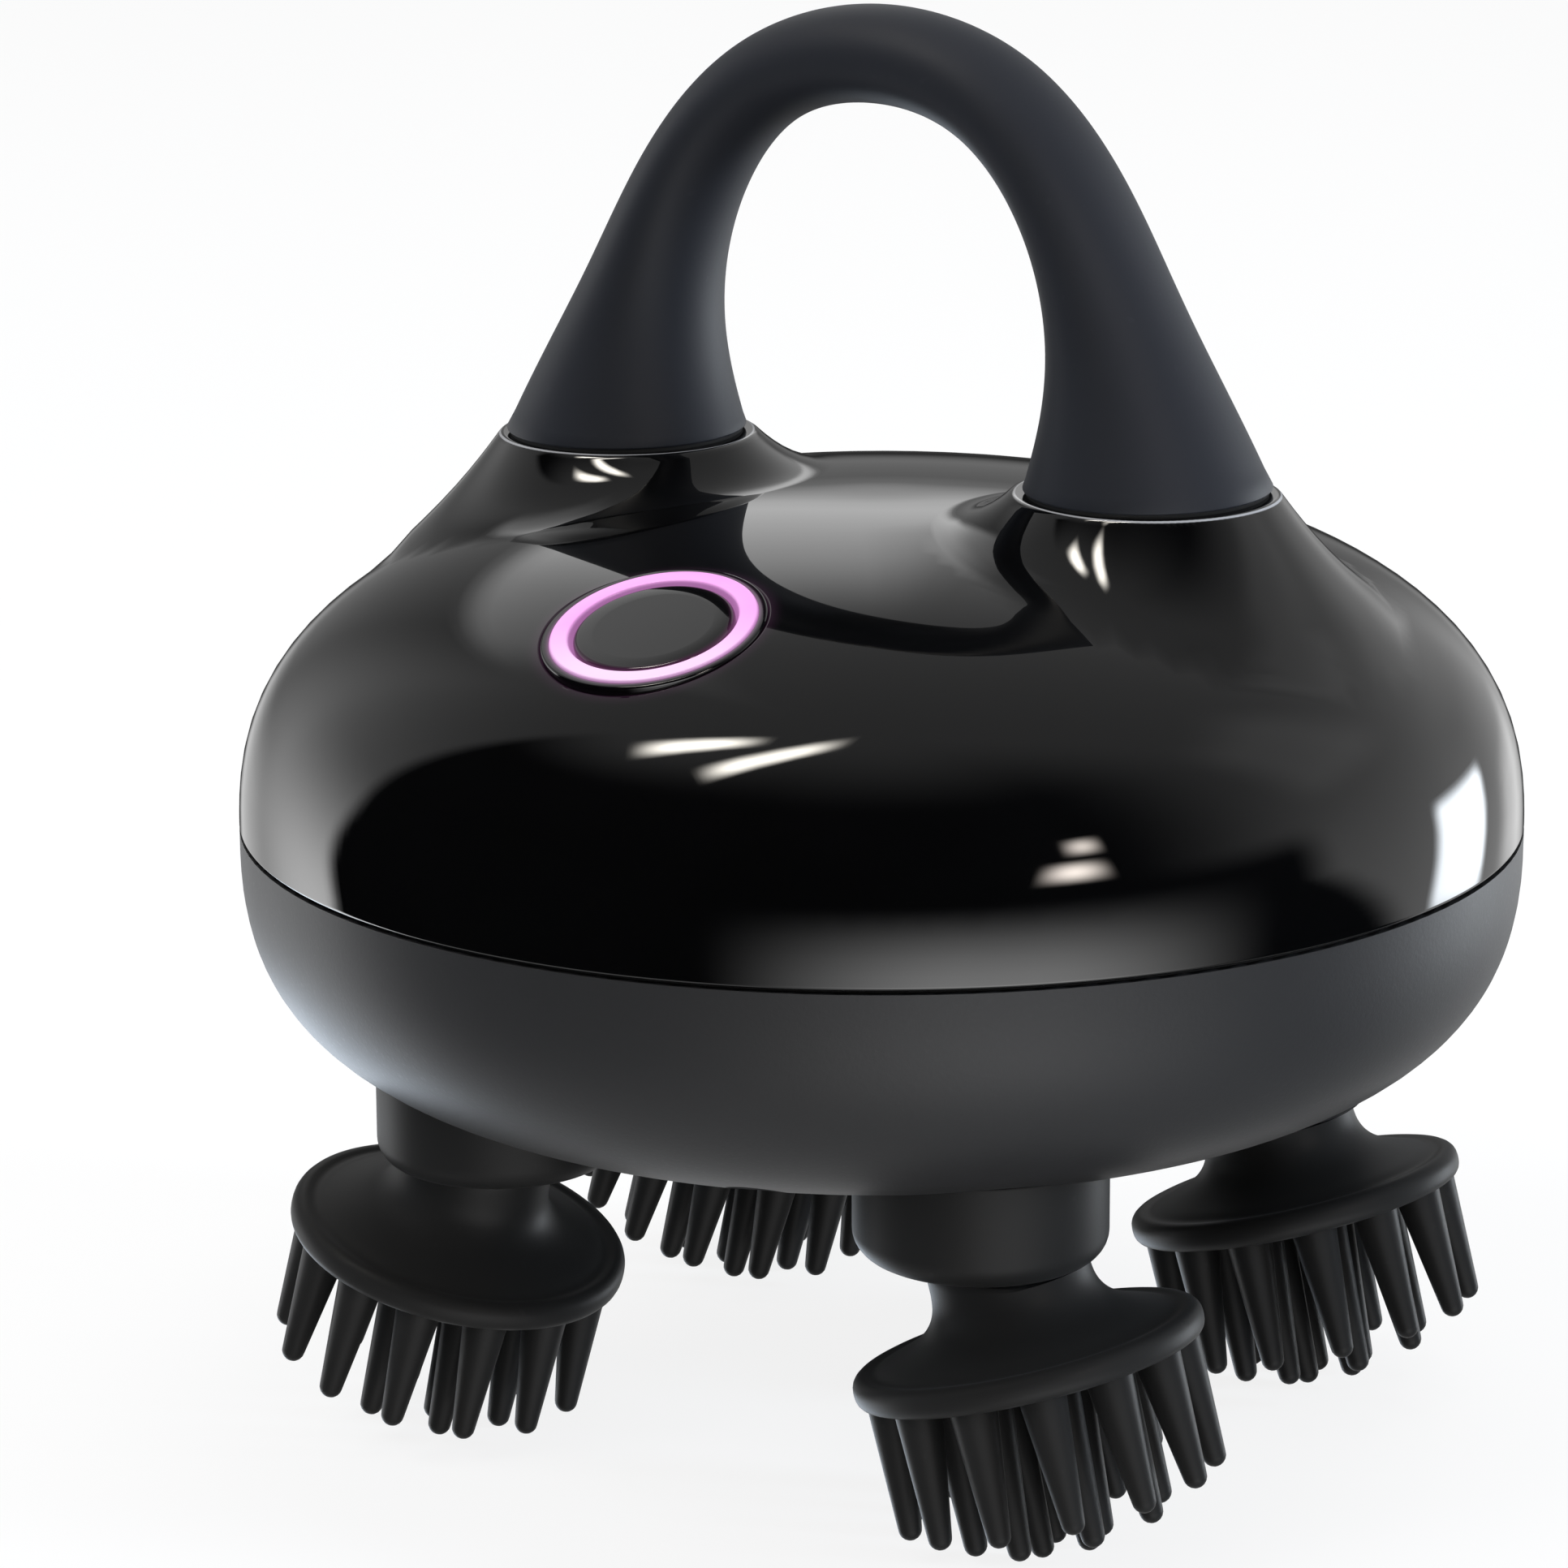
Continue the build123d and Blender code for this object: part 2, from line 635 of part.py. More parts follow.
with BuildPart() as handle_seals:
    with BuildSketch(level(SEAT_H)):
        with Locations((SHOULDER_X, 0), (-SHOULDER_X, 0)):
            Ellipse(HANDLE_BASE_THICK - FREE_GAP, HANDLE_BASE_WIDE - FREE_GAP)
            Ellipse(
                HANDLE_BASE_THICK - 2 * GRIP_SKIN,
                HANDLE_BASE_WIDE - 2 * GRIP_SKIN,
                mode=Mode.SUBTRACT,
            )
    extrude(amount=HANDLE_BASE_H - SEAT_H)
save(handle_seals.part, "handle_seals")

with BuildPart() as handle_screws:
    screw_set(
        HANDLE_SCREW_R,
        HANDLE_SCREW_LENGTH,
        HANDLE_SCREW_HEAD_R,
        HANDLE_SCREW_HEAD_H,
        SCREW_PAD_H,
        handle_screws_xy,
    )
save(handle_screws.part, "handle_screws")

# ================================================================ power button

flange_bottom = BEZEL_FLANGE_TOP - BEZEL_FLANGE_T
keeper_top = flange_bottom - FREE_GAP
stem_end = keeper_top - KEEPER_T - STEM_END
ring_bore = BUTTON_R + FREE_GAP

with BuildPart() as button_bezel:
    ring_at(BUTTON_PLANE, BEZEL_R, BEZEL_FLANGE_TOP, BEZEL_PROUD, RING_R + SEAT_FIT)
    ring_at(BUTTON_PLANE, BEZEL_FLANGE_R, flange_bottom, BEZEL_FLANGE_TOP, BEZEL_FLANGE_BORE)
    with BuildSketch(BUTTON_PLANE.offset(flange_bottom)):
        with PolarLocations(LED_RING_R, LED_COUNT):
            Circle(LED_WINDOW_R)
    extrude(amount=BEZEL_FLANGE_T, mode=Mode.SUBTRACT)
save(button_bezel.part, "button_bezel")

with BuildPart() as light_ring:
    ring_at(BUTTON_PLANE, RING_R, BEZEL_FLANGE_TOP + SEAT_FIT, RING_PROUD, ring_bore)
    fillet(light_ring.faces().sort_by(BUTTON_AXIS)[-1].edges(), RING_EDGE)
save(light_ring.part, "light_ring")

with BuildPart() as button_cap:
    ring_at(BUTTON_PLANE, BUTTON_R, keeper_top - KEEPER_T, BUTTON_PROUD)
    fillet(button_cap.faces().sort_by(BUTTON_AXIS)[-1].edges(), CAP_EDGE)
    ring_at(BUTTON_PLANE, KEEPER_R, keeper_top - KEEPER_T, keeper_top)
    ring_at(
        BUTTON_PLANE,
        BUTTON_R - CAP_WALL,
        keeper_top - KEEPER_T,
        BUTTON_PROUD - CAP_WALL,
        mode=Mode.SUBTRACT,
    )
    ring_at(BUTTON_PLANE, STEM_R, stem_end, BUTTON_PROUD - CAP_WALL / 2)
save(button_cap.part, "button_cap")

plunger_low = BUTTON_BOARD_TOP + SWITCH_WELL
with BuildPart() as switch_plunger:
    ring_at(BUTTON_PLANE, PLUNGER_R, plunger_low + BUTTON_TRAVEL, stem_end - SEAT_FIT)
save(switch_plunger.part, "switch_plunger")

with BuildPart() as tact_switch:
    with BuildSketch(BUTTON_PLANE.offset(BUTTON_BOARD_TOP + SEAT_FIT)):
        RectangleRounded(SWITCH_SIZE, SWITCH_SIZE, SWITCH_CORNER)
    extrude(amount=stem_end - BUTTON_TRAVEL - FREE_GAP - BUTTON_BOARD_TOP)
    ring_at(
        BUTTON_PLANE,
        PLUNGER_R + RUN_FIT,
        plunger_low - THRUST_GAP,
        stem_end,
        mode=Mode.SUBTRACT,
    )
save(tact_switch.part, "tact_switch")

with BuildPart() as button_board:
    with BuildSketch(BUTTON_PLANE.offset(BUTTON_BOARD_TOP - BOARD_T)):
        Circle(BUTTON_BOARD_R)
        SlotOverall(2 * BUTTON_BOARD_EAR_X + BUTTON_BOARD_EAR_W, BUTTON_BOARD_EAR_W)
        with Locations(*button_posts):
            Circle(SMALL_SCREW_R + FREE_GAP, mode=Mode.SUBTRACT)
    extrude(amount=BOARD_T)
save(button_board.part, "button_board")

with BuildPart() as status_leds:
    with BuildSketch(BUTTON_PLANE.offset(BUTTON_BOARD_TOP + SEAT_FIT)):
        with PolarLocations(LED_RING_R, LED_COUNT):
            Rectangle(LED_SIZE[0], LED_SIZE[1])
    extrude(amount=LED_SIZE[2])
save(status_leds.part, "status_leds")

# ================================================================ gears


def involute(angle):
    """Involute function of a pressure angle."""
    return tan(angle) - angle


def toothed_disc(teeth, module, centre, phase, bottom, thickness):
    """Spur gear standing on a height, with one tooth centred on the phase angle (radians)."""
    pitch_r = module * teeth / 2
    base_r = pitch_r * cos(PRESSURE_ANGLE)
    tip_r = pitch_r + ADDENDUM * module
    root_r = pitch_r - DEDENDUM * module
    half_tooth = (pi / 2 - BACKLASH) / teeth
    low_r = max(base_r, root_r)

    def flank(radius):
        return half_tooth + involute(PRESSURE_ANGLE) - involute(acos(min(base_r / radius, 1)))

    def at(radius, angle):
        return centre[0] + radius * cos(angle), centre[1] + radius * sin(angle)

    shares = [(step / FLANK_POINTS) ** 2 for step in range(FLANK_POINTS + 1)]
    radii = [low_r + (tip_r - low_r) * share for share in shares]
    root_half = flank(low_r)
    pitch = 2 * pi / teeth
    with BuildSketch(level(bottom)) as outline:
        with BuildLine():
            for index in range(teeth):
                middle = phase + index * pitch
                following = middle + pitch
                rise = [at(radius, middle - flank(radius)) for radius in radii]
                fall = [at(radius, middle + flank(radius)) for radius in reversed(radii)]
                if root_r < low_r:
                    Line(at(root_r, middle - root_half), rise[0])
                    Line(fall[-1], at(root_r, middle + root_half))
                Spline(rise)
                Line(rise[-1], fall[0])
                Spline(fall)
                Line(at(root_r, middle + root_half), at(root_r, following - root_half))
        make_face()
    extrude(outline.sketch, amount=thickness)


def meshed_phase(phase, teeth, other_teeth, direction):
    """Phase of a gear that lies in a direction from a gear whose phase is known."""
    share = (phase - direction) / (2 * pi / teeth)
    return direction + pi + (2 * pi / other_teeth) * (0.5 - share)


def toward(start, end):
    """Direction from one centre to another."""
    return atan2(end[1] - start[1], end[0] - start[0])


pair_left_xy = (-PAIR_X, 0.0)
pair_right_xy = (PAIR_X, 0.0)
reduction_xy = (REDUCTION_X, REDUCTION_Y)
motor_xy = (0.0, 0.0)
pair_left_phase = 0.0
pair_right_phase = meshed_phase(
    pair_left_phase, PAIR_TEETH, PAIR_TEETH, toward(pair_left_xy, pair_right_xy)
)
reduction_phase = meshed_phase(
    pair_left_phase, PAIR_TEETH, REDUCTION_TEETH, toward(pair_left_xy, reduction_xy)
)
motor_phase = meshed_phase(
    reduction_phase, WHEEL_TEETH, MOTOR_TEETH, toward(reduction_xy, motor_xy)
)
gear_top = GEAR_BOTTOM + GEAR_T
hub_top = COVER_BOTTOM - BUSH_FLANGE_T - THRUST_GAP


for name, centre, phase in (
    ("pair_gear_left", pair_left_xy, pair_left_phase),
    ("pair_gear_right", pair_right_xy, pair_right_phase),
):
    with BuildPart() as pair_gear:
        toothed_disc(PAIR_TEETH, MODULE, centre, phase, GEAR_BOTTOM, GEAR_T)
        disc(PAIR_HUB_R, gear_top, hub_top, [centre])
        disc(AXLE_R + RUN_FIT, GEAR_BOTTOM, hub_top, [centre], mode=Mode.SUBTRACT)
    save(pair_gear.part, name)

with BuildPart() as reduction_gear:
    toothed_disc(
        REDUCTION_TEETH,
        MODULE,
        reduction_xy,
        reduction_phase,
        GEAR_BOTTOM,
        WHEEL_BOTTOM - GEAR_BOTTOM,
    )
    toothed_disc(WHEEL_TEETH, FINE_MODULE, reduction_xy, reduction_phase, WHEEL_BOTTOM, WHEEL_T)
    disc(
        REDUCTION_AXLE_R + RUN_FIT,
        GEAR_BOTTOM,
        WHEEL_BOTTOM + WHEEL_T,
        [reduction_xy],
        mode=Mode.SUBTRACT,
    )
save(reduction_gear.part, "reduction_gear")

# ================================================================ gearbox plates

base_top = BASE_BOTTOM + PLATE_T
cover_top = COVER_BOTTOM + PLATE_T

with BuildPart() as gearbox_base:
    with BuildSketch(level(BASE_BOTTOM)):
        RectangleRounded(2 * PLATE_HALF, 2 * PLATE_HALF, PLATE_CORNER)
    extrude(amount=PLATE_T)
    disc(SPACER_R, base_top, COVER_BOTTOM - SEAT_FIT, SPACERS)
    disc(AXLE_BOSS_R, base_top, GEAR_BOTTOM - THRUST_GAP, [pair_left_xy, pair_right_xy, reduction_xy])
    disc(BUSH_R + SEAT_FIT, BASE_BOTTOM, base_top, SPINDLES, mode=Mode.SUBTRACT)
    disc(GEARBOX_SCREW_R + SEAT_FIT, BASE_BOTTOM, COVER_BOTTOM, SPACERS, mode=Mode.SUBTRACT)
    disc(AXLE_R + SEAT_FIT, BASE_BOTTOM, gear_top, [pair_left_xy, pair_right_xy], mode=Mode.SUBTRACT)
    disc(REDUCTION_AXLE_R + SEAT_FIT, BASE_BOTTOM, gear_top, [reduction_xy], mode=Mode.SUBTRACT)
save(gearbox_base.part, "gearbox_base")

motor_screws_xy = [
    (MOTOR_SCREW_PCD_R * cos(radians(turn)), MOTOR_SCREW_PCD_R * sin(radians(turn)))
    for turn in MOTOR_SCREW_ANGLES
]
board_screw_end = MAIN_BOARD_BOTTOM + MAIN_BOARD_T - SMALL_SCREW_LENGTH

with BuildPart() as gearbox_cover:
    with BuildSketch(level(COVER_BOTTOM)):
        RectangleRounded(2 * PLATE_HALF, 2 * PLATE_HALF, PLATE_CORNER)
    extrude(amount=PLATE_T)
    disc(STANDOFF_R, cover_top, MAIN_BOARD_BOTTOM - SEAT_FIT, MAIN_BOARD_POSTS)
    disc(BUSH_R + SEAT_FIT, COVER_BOTTOM, cover_top, SPINDLES, mode=Mode.SUBTRACT)
    disc(GEARBOX_SCREW_R + FREE_GAP, COVER_BOTTOM, cover_top, SPACERS, mode=Mode.SUBTRACT)
    disc(AXLE_R + SEAT_FIT, COVER_BOTTOM, cover_top, [pair_left_xy, pair_right_xy], mode=Mode.SUBTRACT)
    disc(REDUCTION_AXLE_R + SEAT_FIT, COVER_BOTTOM, cover_top, [reduction_xy], mode=Mode.SUBTRACT)
    disc(MOTOR_BOSS_R + SEAT_FIT, COVER_BOTTOM, cover_top, mode=Mode.SUBTRACT)
    disc(SMALL_SCREW_R + FREE_GAP, COVER_BOTTOM, cover_top, motor_screws_xy, mode=Mode.SUBTRACT)
    disc(
        SMALL_SCREW_R + SEAT_FIT,
        board_screw_end - SEAT_FIT,
        MAIN_BOARD_BOTTOM,
        MAIN_BOARD_POSTS,
        mode=Mode.SUBTRACT,
    )
save(gearbox_cover.part, "gearbox_cover")

with BuildPart() as gearbox_screws:
    screw_set(
        GEARBOX_SCREW_R,
        -GEARBOX_SCREW_LENGTH,
        GEARBOX_SCREW_HEAD_R,
        -GEARBOX_SCREW_HEAD_H,
        cover_top,
        SPACERS,
    )
save(gearbox_screws.part, "gearbox_screws")

with BuildPart() as gear_axles:
    disc(AXLE_R, BASE_BOTTOM, cover_top, [pair_left_xy, pair_right_xy])
    disc(REDUCTION_AXLE_R, BASE_BOTTOM, cover_top, [reduction_xy])
save(gear_axles.part, "gear_axles")

with BuildPart() as spindle_bushes:
    bore = SPINDLE_R + RUN_FIT
    disc(BUSH_R, BASE_BOTTOM, base_top, SPINDLES, bore)
    disc(BUSH_FLANGE_R, base_top, base_top + BUSH_FLANGE_T, SPINDLES, bore)
    disc(BUSH_R, COVER_BOTTOM, cover_top, SPINDLES, bore)
    disc(BUSH_FLANGE_R, COVER_BOTTOM - BUSH_FLANGE_T, COVER_BOTTOM, SPINDLES, bore)
save(spindle_bushes.part, "spindle_bushes")

with BuildPart() as shaft_seals:
    disc(SEAL_R - SEAT_FIT, seal_bottom + SEAT_FIT, seal_top - SEAT_FIT, SPINDLES, SPINDLE_R + RUN_FIT)
save(shaft_seals.part, "shaft_seals")

# ================================================================ motor

can_top = cover_top + MOTOR_H
cap_top_h = can_top + MOTOR_CAP_T
can_floor = cover_top + MOTOR_WALL

with BuildPart() as motor_can:
    disc(MOTOR_R, cover_top + SEAT_FIT, can_top)
    disc(MOTOR_R - MOTOR_WALL, can_floor, can_top, mode=Mode.SUBTRACT)
    disc(MOTOR_BOSS_R, COVER_BOTTOM, can_floor)
    disc(MOTOR_SHAFT_R + RUN_FIT, COVER_BOTTOM, can_floor, mode=Mode.SUBTRACT)
    disc(SMALL_SCREW_R + SEAT_FIT, cover_top, can_floor, motor_screws_xy, mode=Mode.SUBTRACT)
save(motor_can.part, "motor_can")

terminals = [(-MOTOR_SCREW_PCD_R, 0), (MOTOR_SCREW_PCD_R, 0)]
with BuildPart() as motor_end_cap:
    disc(MOTOR_R, can_top + SEAT_FIT, cap_top_h)
    disc(MOTOR_BOSS_R, cap_top_h, cap_top_h + MOTOR_BOSS_H)
    with BuildSketch(level(cap_top_h)):
        with Locations(*terminals):
            Rectangle(TERMINAL_SIZE[0], TERMINAL_SIZE[1])
    extrude(amount=TERMINAL_SIZE[2])
    disc(MOTOR_SHAFT_R + RUN_FIT, can_top, cap_top_h + MOTOR_BOSS_H / 2, mode=Mode.SUBTRACT)
save(motor_end_cap.part, "motor_end_cap")

pinion_bottom = WHEEL_BOTTOM - FREE_GAP
with BuildPart() as motor_armature:
    disc(MOTOR_SHAFT_R, pinion_bottom, cap_top_h)
    disc(ARMATURE_R, ARMATURE_BOTTOM, ARMATURE_TOP)
    disc(COMMUTATOR_R, ARMATURE_TOP, ARMATURE_TOP + COMMUTATOR_H)
    with BuildSketch(level(ARMATURE_BOTTOM)):
        with PolarLocations(ARMATURE_R, ARMATURE_SLOTS):
            Rectangle(*ARMATURE_SLOT)
    extrude(amount=ARMATURE_TOP - ARMATURE_BOTTOM, mode=Mode.SUBTRACT)
save(motor_armature.part, "motor_armature")

with BuildPart() as motor_pinion:
    toothed_disc(MOTOR_TEETH, FINE_MODULE, motor_xy, motor_phase, pinion_bottom, PINION_T)
    disc(MOTOR_SHAFT_R + SEAT_FIT, pinion_bottom, pinion_bottom + PINION_T, mode=Mode.SUBTRACT)
save(motor_pinion.part, "motor_pinion")

# ================================================================ electronics

board_top = MAIN_BOARD_BOTTOM + MAIN_BOARD_T
board_y = (MAIN_BOARD_Y[0] + MAIN_BOARD_Y[1]) / 2
board_w = MAIN_BOARD_Y[1] - MAIN_BOARD_Y[0]

with BuildPart() as main_board:
    with BuildSketch(level(MAIN_BOARD_BOTTOM)):
        with Locations((0, board_y)):
            RectangleRounded(2 * MAIN_BOARD_HALF_X, board_w, MAIN_BOARD_CORNER)
        with Locations(*MAIN_BOARD_POSTS):
            Circle(SMALL_SCREW_R + FREE_GAP, mode=Mode.SUBTRACT)
    extrude(amount=MAIN_BOARD_T)
save(main_board.part, "main_board")

# chips, coil, capacitor and the two lead connectors: place, size and height
COMPONENTS = [
    ((-4.0, board_y), (7.0, 7.0), 1.0),
    ((6.5, board_y + 1.5), (5.0, 4.0), 1.2),
    ((6.0, board_y - 5.0), (4.0, 4.0), 2.6),
    ((-12.5, board_y), (4.0, 3.0), 1.4),
    ((12.5, board_y - 4.0), (3.2, 1.6), 0.9),
    ((CONNECTOR_X, board_y), CONNECTOR_SIZE, CONNECTOR_H),
    ((-CONNECTOR_X, board_y), CONNECTOR_SIZE, CONNECTOR_H),
]
with BuildPart() as board_components:
    for place, footprint, height in COMPONENTS:
        with BuildSketch(level(board_top + SEAT_FIT)):
            with Locations(place):
                RectangleRounded(*footprint, CHIP_CORNER)
        extrude(amount=height)
save(board_components.part, "board_components")

with BuildPart() as small_screws:
    disc(SMALL_SCREW_HEAD_R, board_top, board_top + SMALL_SCREW_HEAD_H, MAIN_BOARD_POSTS)
    disc(SMALL_SCREW_R, board_screw_end, board_top, MAIN_BOARD_POSTS)
    disc(SMALL_SCREW_HEAD_R, COVER_BOTTOM - SMALL_SCREW_HEAD_H, COVER_BOTTOM, motor_screws_xy)
    disc(SMALL_SCREW_R, COVER_BOTTOM, COVER_BOTTOM + SMALL_SCREW_LENGTH, motor_screws_xy)
    with BuildSketch(BUTTON_PLANE.offset(BUTTON_BOARD_TOP - BOARD_T - SMALL_SCREW_HEAD_H)):
        with Locations(*button_posts):
            Circle(SMALL_SCREW_HEAD_R)
    extrude(amount=SMALL_SCREW_HEAD_H)
    with BuildSketch(BUTTON_PLANE.offset(BUTTON_BOARD_TOP - BOARD_T)):
        with Locations(*button_posts):
            Circle(SMALL_SCREW_R)
    extrude(amount=SMALL_SCREW_LENGTH)
save(small_screws.part, "small_screws")

cradle_half_x = BATTERY_LENGTH / 2 + CRADLE_GAP + CRADLE_WALL
cradle_half_y = BATTERY_R + CRADLE_GAP + CRADLE_WALL
cradle_bottom = cover_top + SEAT_FIT
battery_h = cradle_bottom + CRADLE_FLOOR + SEAT_FIT + BATTERY_R

with BuildPart() as battery_cradle:
    with BuildSketch(level(cradle_bottom)):
        with Locations((0, BATTERY_Y)):
            RectangleRounded(2 * cradle_half_x, 2 * cradle_half_y, CRADLE_CORNER)
    extrude(amount=CRADLE_H)
    with BuildSketch(level(cradle_bottom + CRADLE_FLOOR)):
        with Locations((0, BATTERY_Y)):
            Rectangle(BATTERY_LENGTH + 2 * CRADLE_GAP, 2 * (BATTERY_R + CRADLE_GAP))
    extrude(amount=CRADLE_H, mode=Mode.SUBTRACT)
    disc(BUSH_R, cradle_bottom, cradle_bottom + CRADLE_FLOOR, SPINDLES[2:], mode=Mode.SUBTRACT)
    disc(
        GEARBOX_SCREW_HEAD_R + FREE_GAP,
        cradle_bottom,
        cradle_bottom + CRADLE_FLOOR,
        [SPACERS[2]],
        mode=Mode.SUBTRACT,
    )
save(battery_cradle.part, "battery_cradle")

BATTERY_PLANE = Plane(
    origin=(-BATTERY_LENGTH / 2, BATTERY_Y, SEAM_Z + battery_h), x_dir=(0, 1, 0), z_dir=(1, 0, 0)
)
with BuildPart() as battery_cell:
    ring_at(BATTERY_PLANE, BATTERY_R, 0, BATTERY_LENGTH - BATTERY_NUB_H)
    ring_at(BATTERY_PLANE, BATTERY_NUB_R, BATTERY_LENGTH - BATTERY_NUB_H, BATTERY_LENGTH)
    chamfer(battery_cell.faces().sort_by(Axis.X)[0].edges(), BATTERY_EDGE)
save(battery_cell.part, "battery_cell")


def lead(points, bend):
    """Round lead along straight runs joined by arcs of one radius."""
    path = [(x, y, SEAM_Z + h) for x, y, h in points]
    with BuildLine():
        route = FilletPolyline(*path, radius=bend)
    start = Vector(path[1]) - Vector(path[0])
    with BuildSketch(Plane(origin=path[0], z_dir=start)) as section:
        Circle(LEAD_R)
    sweep(section.sketch, path=route)


battery_end = BATTERY_LENGTH / 2 + SEAT_FIT
lead_out = cradle_half_x + LEAD_SWING
tab_h = battery_h + LEAD_TAB_H
lead_end_h = board_top + LEAD_END_H
with BuildPart() as battery_leads:
    for side in (-1, 1):
        lead(
            [
                (side * battery_end, BATTERY_Y, tab_h),
                (side * lead_out, BATTERY_Y, tab_h),
                (side * lead_out, LEAD_TURN_Y, LEAD_TURN_H),
                (side * (lead_out - LEAD_TURN_IN), board_y, lead_end_h),
                (side * (CONNECTOR_X + CONNECTOR_SIZE[0] / 2 + SEAT_FIT), board_y, lead_end_h),
            ],
            BATTERY_LEAD_BEND,
        )
save(battery_leads.part, "battery_leads")

terminal_y = TERMINAL_SIZE[1] / 2 + SEAT_FIT
motor_lead_h = cap_top_h + LEAD_R + SEAT_FIT
with BuildPart() as motor_leads:
    for side in (-1, 1):
        lead(
            [
                (side * MOTOR_SCREW_PCD_R, -terminal_y, motor_lead_h),
                (side * MOTOR_SCREW_PCD_R, MOTOR_LEAD_FRONT_Y, motor_lead_h),
                (side * MOTOR_PAD[0], MOTOR_PAD[1], MOTOR_LEAD_TURN_H),
                (side * MOTOR_PAD[0], MOTOR_PAD[1], board_top + SEAT_FIT),
            ],
            MOTOR_LEAD_BEND,
        )
save(motor_leads.part, "motor_leads")

# ================================================================ charge port

charge_board_y = sum(CHARGE_BOARD_Y) / 2
with BuildPart() as charge_board:
    with BuildSketch(level(charge_board_top - BOARD_T)):
        with Locations((0, charge_board_y)):
            Rectangle(2 * CHARGE_BOARD_HALF_X, CHARGE_BOARD_Y[1] - CHARGE_BOARD_Y[0])
    extrude(amount=BOARD_T)
save(charge_board.part, "charge_board")

with BuildPart() as charge_socket:
    with BuildSketch(SOCKET_PLANE):
        SlotOverall(SOCKET_SIZE[0], SOCKET_SIZE[2])
    extrude(amount=-SOCKET_SIZE[1])
    with BuildSketch(SOCKET_PLANE):
        SlotOverall(SOCKET_SIZE[0] - 2 * SOCKET_WALL, SOCKET_SIZE[2] - 2 * SOCKET_WALL)
    extrude(amount=SOCKET_BACK_T - SOCKET_SIZE[1], mode=Mode.SUBTRACT)
    with BuildSketch(SOCKET_PLANE.offset(-TONGUE_INSET)):
        Rectangle(*TONGUE_SIZE)
    extrude(amount=TONGUE_INSET + SOCKET_BACK_T / 2 - SOCKET_SIZE[1])
save(charge_socket.part, "charge_socket")

with BuildPart() as charge_cover:
    bowl_solid(0, 0)
    bowl_solid(FLAP_T, PAST, mode=Mode.SUBTRACT)
    with BuildSketch(PORT_PLANE.offset(-2 * WALL)):
        RectangleRounded(FLAP_SIZE[0], FLAP_SIZE[1], FLAP_CORNER - FLAP_GAP)
    extrude(amount=4 * WALL, mode=Mode.INTERSECT)
    with BuildSketch(PORT_PLANE.offset(-FLAP_T - FLAP_PLUG_H)):
        SlotOverall(*FLAP_PLUG)
    extrude(amount=FLAP_PLUG_H + FLAP_T / 2)
save(charge_cover.part, "charge_cover")

# ================================================================ spindles

for (name, side, depth), centre in zip(CORNERS, SPINDLES):
    pair_xy, pair_phase = (
        (pair_left_xy, pair_left_phase) if side < 0 else (pair_right_xy, pair_right_phase)
    )
    phase = meshed_phase(pair_phase, PAIR_TEETH, SPINDLE_TEETH, toward(pair_xy, centre))

    with BuildPart() as spindle_gear:
        toothed_disc(SPINDLE_TEETH, MODULE, centre, phase, GEAR_BOTTOM, GEAR_T)
        disc(SPINDLE_HUB_R, gear_top, hub_top, [centre])
        disc(SPINDLE_R + SEAT_FIT, GEAR_BOTTOM, hub_top, [centre], mode=Mode.SUBTRACT)
        with BuildSketch(level(GEAR_BOTTOM)):
            with Locations(centre):
                with PolarLocations(MODULE * SPINDLE_TEETH / 3, GEAR_WINDOWS):
                    Circle(GEAR_WINDOW_R)
        extrude(amount=GEAR_T, mode=Mode.SUBTRACT)
    save(spindle_gear.part, f"spindle_gear_{name}")

    with BuildPart() as spindle:
        disc(SPINDLE_R, CUP_TOP - SPINDLE_DEPTH + SEAT_FIT, SPINDLE_TOP, [centre])
        chamfer(spindle.edges().sort_by(Axis.Z)[-1], SPINDLE_EDGE)
    save(spindle.part, f"spindle_{name}")

    tilted = head_plane(side, depth)
    with BuildPart() as drive_cup:
        disc(CUP_R, CUP_BOTTOM, CUP_TOP, [centre])
        fillet(drive_cup.edges().sort_by(Axis.Z)[0], CUP_EDGE)
        with BuildSketch(tilted.offset(DRIVE_POST_START)):
            RegularPolygon(DRIVE_POST_R, HEX_SIDES)
        extrude(amount=DRIVE_POST_END - DRIVE_POST_START)
        disc(SPINDLE_R + SEAT_FIT, CUP_TOP - SPINDLE_DEPTH, CUP_TOP, [centre], mode=Mode.SUBTRACT)
    save(drive_cup.part, f"drive_cup_{name}")

# ================================================================ massage heads

# drawn once in the tilted frame: z runs down the axis from the pivot, x leans outward
NECK_CUT = Plane(
    origin=(0, 0, (PIVOT_H - CUP_BOTTOM + FREE_GAP) / cos(TILT)),
    x_dir=(cos(TILT), 0, sin(TILT)),
    z_dir=(sin(TILT), 0, -cos(TILT)),
)
neck_start = NECK_END / 2

with BuildPart() as head_core:
    with BuildSketch(Plane.XY.offset(neck_start)):
        Circle(CORE_TUBE_R)
    extrude(amount=CORE_FLANGE[0] - neck_start)
    with BuildSketch(Plane.XY.offset(CORE_FLANGE[0])):
        Circle(CORE_FLANGE_R)
    extrude(amount=CORE_FLANGE[1] - CORE_FLANGE[0])
    with BuildSketch(Plane.XY.offset(neck_start)):
        RegularPolygon(DRIVE_POST_R + DRIVE_POST_FIT, HEX_SIDES)
    extrude(amount=CORE_BORE_END - neck_start, mode=Mode.SUBTRACT)
    split(bisect_by=NECK_CUT, keep=Keep.BOTTOM)

